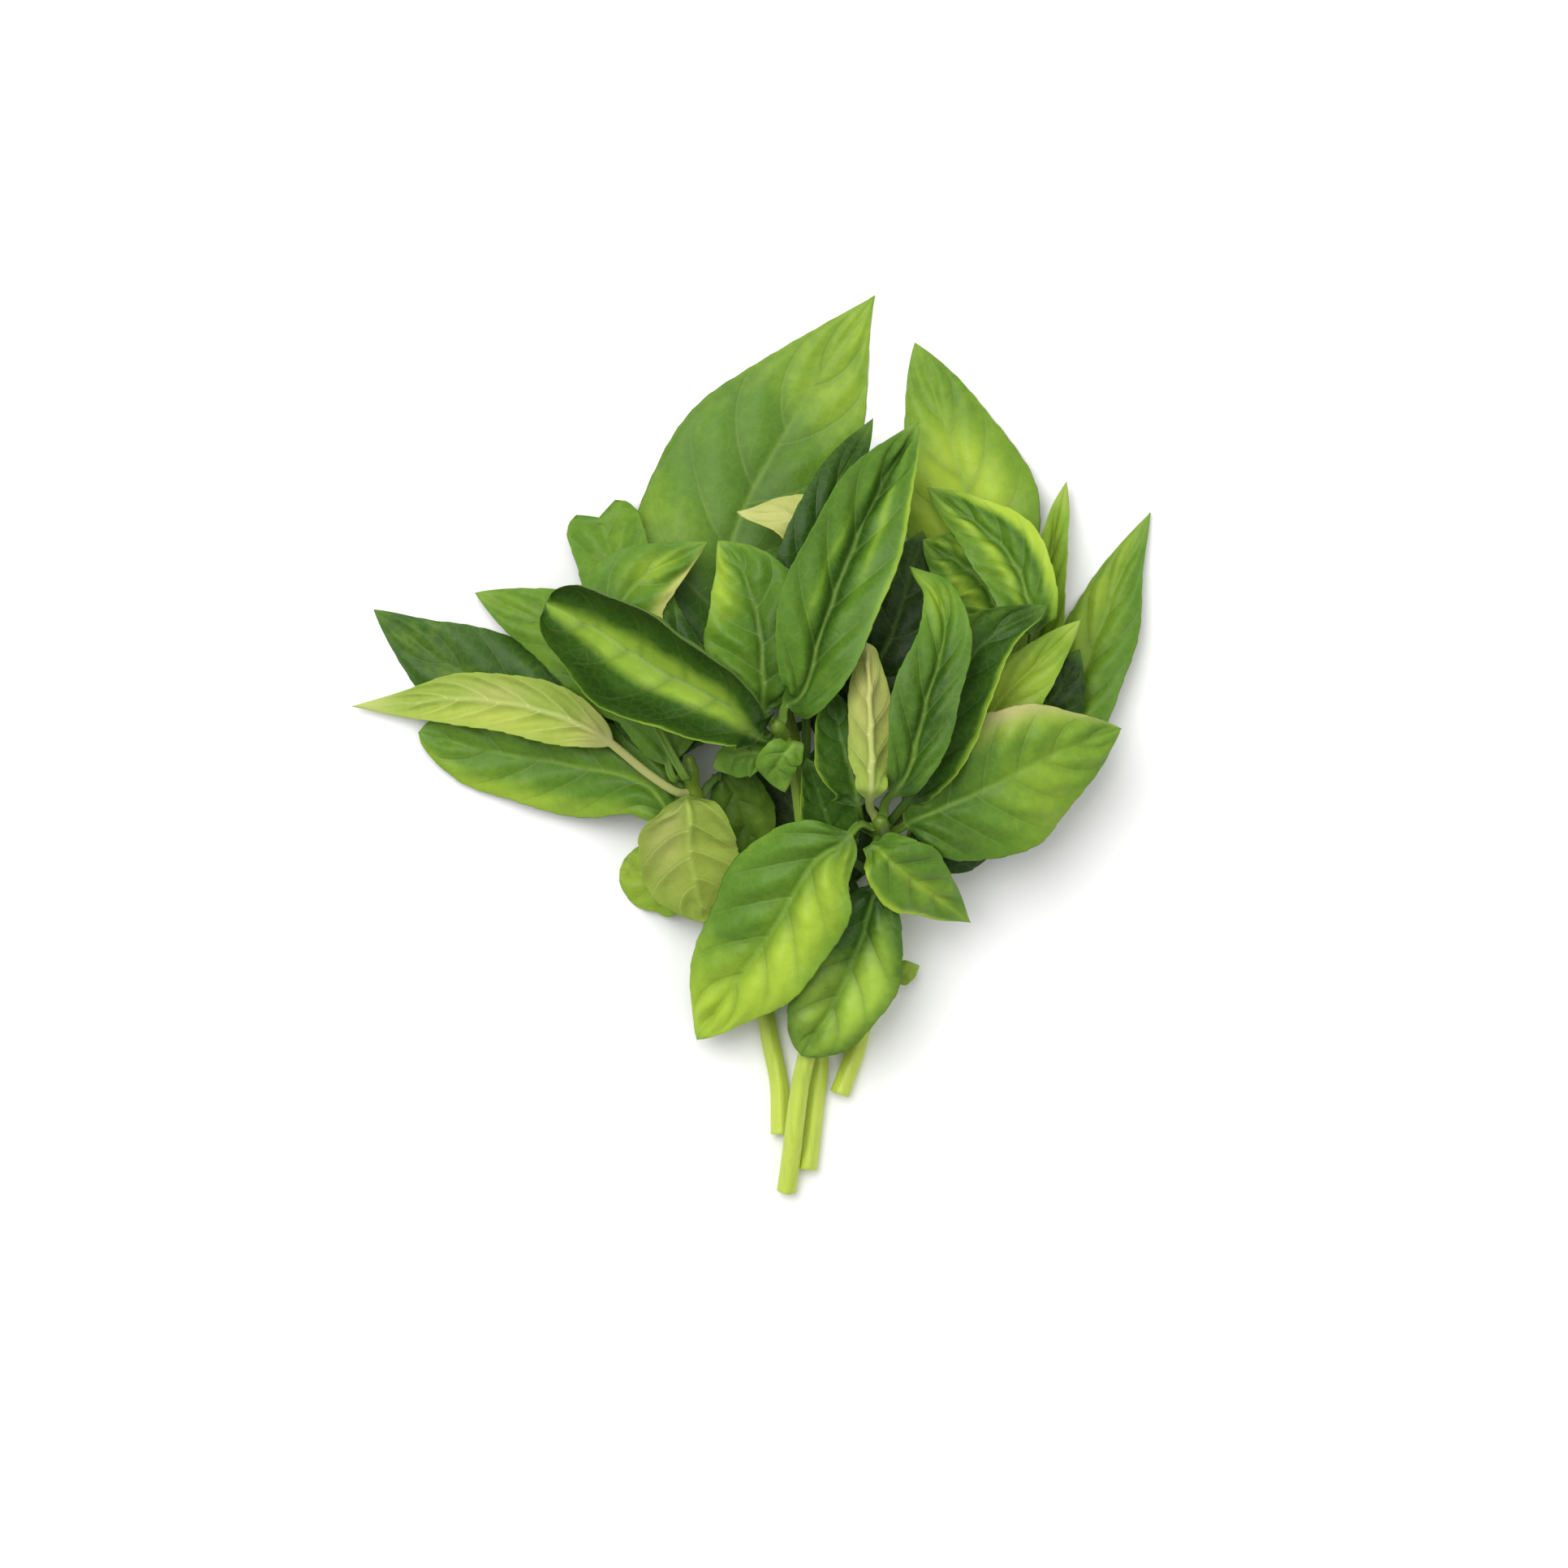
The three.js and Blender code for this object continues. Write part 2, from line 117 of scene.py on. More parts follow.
class Course:
    """A smooth line through points, measured along its length."""

    def __init__(self, points: list) -> None:
        """Keeps the points and measures the line.

        Args:
            points: what the line runs through, in order.
        """
        self.points = np.array(points, float)
        self.knots = np.linspace(0.0, 1.0, COURSE_STEPS + 1)
        gaps = np.linalg.norm(np.diff(self.point(self.knots), axis=0), axis=1)
        self.lengths = np.concatenate([[0.0], np.cumsum(gaps)])

    @property
    def length(self) -> float:
        """The length of the line in millimetres."""
        return float(self.lengths[-1])

    def point(self, knot: np.ndarray) -> np.ndarray:
        """Gives points of the line.

        Args:
            knot: places from 0 to 1, in even steps from one given point to the next.

        Returns:
            One point for each place.
        """
        last = len(self.points) - 1
        place = np.atleast_1d(np.asarray(knot, float)) * last
        start = np.minimum(place.astype(int), last - 1)
        part = (place - start)[:, None]
        first, end = self.points[0], self.points[-1]
        line = np.vstack([2 * first - self.points[1], self.points, 2 * end - self.points[-2]])
        before, here, there, after = (line[start + k] for k in range(4))
        leaving, arriving = (there - before) / 2, (after - here) / 2
        square = 3 * (there - here) - 2 * leaving - arriving
        cube = 2 * (here - there) + leaving + arriving
        return here + leaving * part + square * part**2 + cube * part**3

    def knot(self, share: np.ndarray) -> np.ndarray:
        """Turns shares of the length into places between the given points."""
        return np.interp(np.atleast_1d(share) * self.length, self.lengths, self.knots)

    def at(self, share: np.ndarray) -> np.ndarray:
        """Gives the points at shares of the length."""
        return self.point(self.knot(share))

    def heading(self, share: np.ndarray) -> np.ndarray:
        """Gives the directions of the line.

        Args:
            share: places as shares of the length.

        Returns:
            One direction for each place.
        """
        knot = self.knot(share)
        ahead = self.point(np.minimum(knot + TANGENT_STEP, 1.0))
        return unit(ahead - self.point(np.maximum(knot - TANGENT_STEP, 0.0)))


@dataclass
class Rings:
    """Cross-sections of a stem: centres, directions and radii."""

    centre: np.ndarray
    along: np.ndarray
    side: np.ndarray
    up: np.ndarray
    radius: np.ndarray


@dataclass
class StemShape:
    """The course and girth of one stem, from its cut end up."""

    name: str
    foot: float
    top: float
    path: list
    course: Course = field(init=False)

    def __post_init__(self) -> None:
        """Draws the course through the points."""
        self.course = Course(self.path)

    def rings(self, share: np.ndarray) -> Rings:
        """Measures the stem at shares of its length.

        Args:
            share: places from 0 at the cut end to 1 at the top.

        Returns:
            The cross-section at each place.
        """
        share = np.atleast_1d(np.asarray(share, float))
        along = self.course.heading(share)
        side, up = cross_frame(along, np.cross(along, UP))
        radius = self.foot + (self.top - self.foot) * share
        return Rings(self.course.at(share), along, side, up, radius)


class Tint(Enum):
    """The finishes that a leaf may have, by the name of their slot in the record."""

    DARK = "leaf_dark"
    MID = "leaf_mid"
    LIGHT = "leaf_light"
    PALE = "leaf_underside"


@dataclass
class LeafShape:
    """One leaf: how it grows from its stem, how its blade is bent, and how its colour runs.

    at is the share of the stem's length where it grows, and side the angle around the stem. side,
    roll, fold and curl are in degrees. blunt is 0 for a plain tip, and below 0 for a slimmer one.
    """

    name: str
    stem: str
    at: float
    side: float
    width: float
    path: list
    petiole: float = 8.0
    roll: float = 0.0
    fold: float = 12.0
    curl: float = 34.0
    blunt: float = 0.0
    tint: Tint = Tint.MID
    pucker: float = 0.5
    relief: float = 0.6
    pairs: float = 5.5
    notch: float = 0.0
    # rows of the leaf's own lighter and darker green, and of painted highlights and painted shade
    glows: list = field(default_factory=list)
    blushes: list = field(default_factory=list)
    course: Course = field(init=False)
    level: np.ndarray = field(init=False)
    joint: np.ndarray = field(init=False)
    outward: np.ndarray = field(init=False)
    joint_depth: float = field(init=False)
    lifts: list = field(init=False, default_factory=list)

    def grow_from(self, stem: StemShape) -> None:
        """Draws the leaf's course from its place on the stem.

        Args:
            stem: the stem that it grows from.
        """
        ring = stem.rings(self.at)
        angle = math.radians(self.side)
        self.outward = ring.side[0] * math.cos(angle) + ring.up[0] * math.sin(angle)
        radius = float(ring.radius[0])
        self.joint = ring.centre[0] + self.outward * (radius + JOINT_GAP)
        self.joint_depth = JOINT_GAP + JOINT_SINK * radius
        leaving = unit(self.outward + ring.along[0] * PETIOLE_LEAN)
        self.course = Course([self.joint, self.joint + leaving * PETIOLE_BEND, *self.path])
        self.level = unit(np.cross(self.course.point(1.0)[0] - self.joint, UP))

    def blade(self, share: np.ndarray) -> np.ndarray:
        """Turns shares of the whole length into shares of the blade, 0 all along the petiole."""
        petiole = self.petiole / self.course.length
        return np.clip((share - petiole) / (1 - petiole), 0.0, 1.0)

    def outline(self, blade: np.ndarray) -> np.ndarray:
        """Works out the shape of the blade seen flat.

        Args:
            blade: places from 0 at its base to 1 at its tip.

        Returns:
            The half-width at each place, as a share of the greatest.
        """
        fall = OUTLINE_FALL * (1 - self.blunt)
        widest = OUTLINE_RISE / (OUTLINE_RISE + fall)
        return (blade / widest) ** OUTLINE_RISE * ((1 - blade) / (1 - widest)) ** fall

    def half_width(self, share: np.ndarray) -> np.ndarray:
        """Measures the massing that the leaf is laid by.

        Args:
            share: places from 0 at the joint to 1 at the tip.

        Returns:
            The half-width at each place, in millimetres.
        """
        blade = self.blade(share)
        stalk = (1 - blade) * PETIOLE_WIDTH / 2
        return np.hypot(self.outline(blade) * self.width / 2, stalk) + EDGE_ROOM

    def design(self, across: np.ndarray, share: np.ndarray, half: np.ndarray) -> np.ndarray:
        """Gives points of the middle surface before the leaf is laid.

        Args:
            across: places from -1 to 1 between the margins.
            share: places from 0 at the joint to 1 at the tip.
            half: the half-width at each place, in millimetres.

        Returns:
            One point for each place.
        """
        side, up = cross_frame(self.course.heading(share), self.level)
        roll = math.radians(self.roll)
        outward = side * math.cos(roll) + up * math.sin(roll)
        face = up * math.cos(roll) - side * math.sin(roll)
        blade = self.blade(share)
        spread = smoothstep(self.half_width(share), FLAT_HALF_WIDTH, OPEN_HALF_WIDTH)
        fold = math.radians(self.fold) * spread
        curl = math.radians(self.curl) * spread + LEAST_CURL
        edge = np.abs(across)
        run = (np.sin(fold) - np.sin(fold - curl * edge)) / curl
        rise = (np.cos(fold - curl * edge) - np.cos(fold)) / curl
        turns = RIPPLES * blade + RIPPLE_OFFSET * np.sign(across)
        height = RIPPLE * self.width * edge**2 * np.sin(np.pi * blade)
        sideways = outward * (np.sign(across) * run * half)[:, None]
        upwards = face * (rise * half + height * np.sin(2 * np.pi * turns))[:, None]
        return self.course.at(share) + sideways + upwards

    def raised(self, spot: np.ndarray, across: np.ndarray, share: np.ndarray) -> np.ndarray:
        """Lifts designed points over what is below them, and never lets them under the table.

        Args:
            spot: the designed points.
            across: their places from -1 to 1 between the margins.
            share: their places from 0 at the joint to 1 at the tip.

        Returns:
            The points where they lie.
        """
        lift = np.zeros(len(spot))
        for x, y, height, reach in self.lifts:
            far = (spot[:, 0] - x) ** 2 + (spot[:, 1] - y) ** 2
            lift += height * np.exp(-far / (2 * reach**2))
        hold = smoothstep(share * self.course.length, 0.0, ROOT_REACH)
        inwards = across * self.half_width(share) / PETIOLE_WIDTH
        spine = (1 - self.blade(share)) * np.exp(-(inwards**2))
        thickness = BLADE_THICKNESS + (PETIOLE_THICKNESS - BLADE_THICKNESS) * spine
        laid = spot.copy()
        laid[:, 2] = np.maximum(spot[:, 2] + lift * hold, thickness / 2)
        return laid


class Pile:
    """A height map of what lies on the table so far."""

    def __init__(self) -> None:
        """Starts with a bare table."""
        self.size = int(2 * HALF_FIELD / CELL + 1)
        self.heights = np.full(self.size**2, -np.inf)

    def index(self, spot: np.ndarray) -> np.ndarray:
        """Gives the cell under each spot."""
        column, row = np.floor((spot[:, :2].T + HALF_FIELD) / CELL + 0.5).astype(int)
        return row * self.size + column

    def cover(self, spot: np.ndarray, top: np.ndarray, room: float) -> None:
        """Raises the pile to a height around each spot.

        Args:
            spot: the places covered.
            top: the height at each.
            room: how far around each place it holds.
        """
        reach = math.ceil(room / CELL)
        cell = self.index(spot)
        for i in range(-reach, reach + 1):
            for j in range(-reach, reach + 1):
                if math.hypot(i, j) * CELL <= room:
                    np.maximum.at(self.heights, cell + j * self.size + i, top)

    def lay_leaf(self, leaf: LeafShape) -> None:
        """Lifts a leaf where it would touch what lies below it, then piles it up.

        Args:
            leaf: the leaf, grown from its stem.
        """
        rows, columns = np.meshgrid(
            np.arange(LAY_ALONG + 1) / LAY_ALONG,
            2 * np.arange(LAY_ACROSS + 1) / LAY_ACROSS - 1,
            indexing="ij",
        )
        share, across = rows.ravel(), columns.ravel()
        design = leaf.design(across, share, leaf.half_width(share))
        free = share * leaf.course.length >= ROOT_REACH
        under = self.heights[self.index(design)] + CLEARANCE
        for _ in range(MOST_LIFTS):
            spot = leaf.raised(design, across, share)
            missing = np.where(free, under - spot[:, 2], -np.inf)
            worst = int(np.argmax(missing))
            if missing[worst] <= NEAR_ENOUGH:
                break
            lack = float(missing[worst])
            reach = DRAPE_REACH + DRAPE_SPREAD * lack
            leaf.lifts.append((design[worst, 0], design[worst, 1], lack * LIFT_SHARE, reach))
        spot = leaf.raised(design, across, share)
        kept = share * leaf.course.length >= PETIOLE_BEND
        self.cover(spot[kept], spot[kept, 2], SHADOW)

    def lay_stem(self, stem: StemShape) -> None:
        """Piles a stem up.

        Args:
            stem: the stem, which lies where its path says.
        """
        steps = math.ceil(stem.course.length / CELL)
        ring = stem.rings(np.arange(steps + 1) / steps)
        for centre, radius in zip(ring.centre, ring.radius):
            self.cover(centre[None], np.array([centre[2] + radius]), radius + STEM_ROOM)


# ---- the pieces of this bunch ----
# Glows are partly a leaf's own lighter and darker green and partly painted light and shade.
# Each row of glows and blushes is along, across, reach, spread and strength.
# painted shade: one dark patch over the whole of each leaf that shows only in shadowed gaps
PAINTED_GAP_SHADE = [(0.5, 0, 1, 2, -0.85)]


def shaded_leaf(name: str, stem: str, **growth: object) -> LeafShape:
    """Sets out a dark leaf that shows only in the gaps between the others, as painted shade."""
    return LeafShape(name, stem, tint=Tint.DARK, pucker=0.3, glows=PAINTED_GAP_SHADE, **growth)


STEMS = [
    StemShape(
        "back", foot=2.1, top=1.4,
        path=[[11.7, -90, 2.1], [13.8, -72, 2.3], [14.3, -65, 2.6], [14, -48, 4.5],
              [12.3, -31, 6.5], [10.5, -14, 8], [8, 3, 9.5], [5, 15, 11.5], [4, 19, 15]],
    ),
    StemShape(
        "west", foot=2.1, top=1.3,
        path=[[6.1, -82.5, 2.1], [5.8, -72, 2.1], [4.1, -63.5, 2.4], [2.4, -55, 3.2],
              [-1.9, -40, 6], [-8, -23, 10], [-12, -11, 13], [-13, -4, 17]],
    ),
    StemShape(
        "east", foot=2.1, top=1.4,
        path=[[18.5, -74, 2.1], [20.6, -68.5, 2.2], [22.3, -63.5, 2.5], [25.4, -50, 5],
              [27, -36, 9], [27.4, -25, 12.5], [27.2, -19, 17], [27, -16.5, 23]],
    ),
    StemShape(
        "middle", foot=2.1, top=1.3,
        path=[[7.3, -94.7, 2.1], [8.1, -89, 3.6], [8.9, -82, 6.2], [10.2, -72, 7.6],
              [11.7, -65, 8.3], [14.1, -51.5, 9.9], [13.6, -35, 12], [10.7, -17, 15],
              [9.2, -6, 18], [7.2, 0.5, 22], [5.5, 3.5, 27]],
    ),
    StemShape(
        "branch", foot=1.5, top=1.1,
        path=[[31.5, -29, 8], [35.5, -15, 7.5], [43, 0, 9], [52, 12, 11], [56, 17, 16]],
    ),
]

# the leaves under the stems, from the table up
UNDER = [
    shaded_leaf(
        "under_south_leaf", "east", at=0.62, side=200, width=26, petiole=10,
        path=[[19, -25, 2], [9, -14, 0], [0, -4, -1]],
    ),
    LeafShape(
        "north_leaf", "back", at=0.9, side=195, width=46, blunt=-0.2, pucker=0.55, pairs=6.5,
        path=[[-5, 23, 8], [-3.5, 45, 4], [10, 71, 0], [26, 95, -1]],
        # the last row is painted shade, a dark hollow over the leaf near its foot
        glows=[(0.93, 0, 0.24, 1.6, 0.6), (0.72, 0.5, 0.12, 0.5, 0.25),
               (0.28, -0.6, 0.18, 0.5, 0.35), (0.48, 0.1, 0.25, 0.8, -0.3),
               (0.15, -0.45, 0.1, 0.5, -2)],
    ),
    LeafShape(
        "northeast_leaf", "branch", at=0.84, side=170, width=29,
        path=[[46.5, 31, 7], [46, 50, 5], [41, 67, 2], [34.5, 85, -1]],
        glows=[(0.42, -0.1, 0.25, 0.7, 1.45), (0.7, 0, 0.4, 1.2, 0.3), (0.6, 0.6, 0.3, 0.4, -0.1)],
    ),
    LeafShape(
        "lobe_leaf", "west", at=0.58, side=190, width=15, petiole=6, blunt=0.5, tint=Tint.LIGHT,
        pairs=3.5,
        path=[[-12, -31, 6], [-18, -28.5, 3], [-28, -26.5, 0]],
        glows=[(0.7, 0, 0.4, 1, 0.55)],
    ),
    LeafShape(
        "west_leaf", "west", at=0.88, side=185, width=28, tint=Tint.DARK, pucker=0.45,
        path=[[-28, 3, 7], [-49, 9, 3], [-66, 18, 1], [-80, 28.5, -1]],
        glows=[(0.55, -0.2, 0.35, 0.35, 0.25)],
    ),
    LeafShape(
        "southwest_leaf", "west", at=0.74, side=200, width=22, petiole=12, blunt=0.35, pucker=0.6,
        path=[[-22, -9, 6], [-38, -4.5, 2], [-55, -1.5, 1], [-70.5, 2.5, 0.5]],
        glows=[(0.55, -0.85, 0.5, 0.3, 0.7), (0.2, 0.05, 0.25, 0.12, 0.6),
               (0.3, 0.3, 0.3, 0.8, -0.4)],
    ),
    LeafShape(
        "east_leaf", "east", at=0.82, side=-10, width=19, roll=20, petiole=30, blunt=-0.1, pairs=6,
        path=[[45, -11, 9], [58, -3, 6], [66.5, 8, 5], [73, 23, 4], [78.5, 37, 2], [84.3, 49, 1]],
        glows=[(0.7, -0.45, 0.35, 0.6, 0.5), (0.25, -0.2, 0.25, 0.9, 0.45),
               (0.6, 0.85, 0.3, 0.3, -0.2)],
    ),
    LeafShape(
        "slim_leaf", "branch", at=0.6, side=-20, width=13, fold=60, tint=Tint.LIGHT, pucker=0.2,
        path=[[55, 10, 5], [61, 24, 5], [62.5, 37, 5], [66.5, 55.5, 2]],
        glows=[(0.6, 0, 0.4, 1, 0.3)],
    ),
    shaded_leaf(
        "under_north_leaf", "back", at=0.84, side=-20, width=26, petiole=12,
        path=[[14, 20, 6], [20, 45, 2]],
    ),
    shaded_leaf(
        "under_west_leaf", "west", at=0.95, side=205, width=24,
        path=[[-18, 8, 8], [-22, 17, 5], [-29, 27, 1.5]],
    ),
    shaded_leaf(
        "under_middle_leaf", "back", at=0.77, side=-10, width=28,
        path=[[19, 6, 6], [29, 22, 4], [36, 45, 2]],
    ),
    shaded_leaf(
        "under_branch_leaf", "branch", at=0.5, side=-30, width=17,
        path=[[53, -1, 6], [63, 9, 3], [69, 20, 1]],
    ),
    shaded_leaf(
        "under_east_leaf", "east", at=0.74, side=-40, width=18,
        path=[[41, -20, 6], [54, -11, 2], [66, -5, 1]],
    ),
    LeafShape(
        "shade_leaf", "west", at=0.9, side=-20, width=13, petiole=6, tint=Tint.DARK, pucker=0.4,
        pairs=3.5,
        path=[[-6, -7, 11], [-2, -14, 8], [1, -29, 3]],
        glows=[(0.5, 0, 0.6, 1, 0.35)],
    ),
    LeafShape(
        "northwest_leaf", "west", at=0.97, side=160, width=23, pucker=0.4,
        path=[[-21, 11, 12], [-38, 23, 8], [-58.5, 32, 2]],
        glows=[(0.6, 0.2, 0.3, 0.4, 0.2)],
    ),
    LeafShape(
        "notched_leaf", "back", at=0.82, side=180, width=17, blunt=0.8, petiole=20, pucker=0.8,
        pairs=4.5, notch=4.4,
        path=[[-5, 10, 9], [-17, 21, 8], [-27, 34, 7], [-33, 50, 4]],
        # the second row is painted shade, a dark hollow over the leaf near its foot
        glows=[(0.7, 0.3, 0.3, 0.5, 0.15), (0.25, 0.6, 0.14, 0.5, -1.8)],
    ),
]

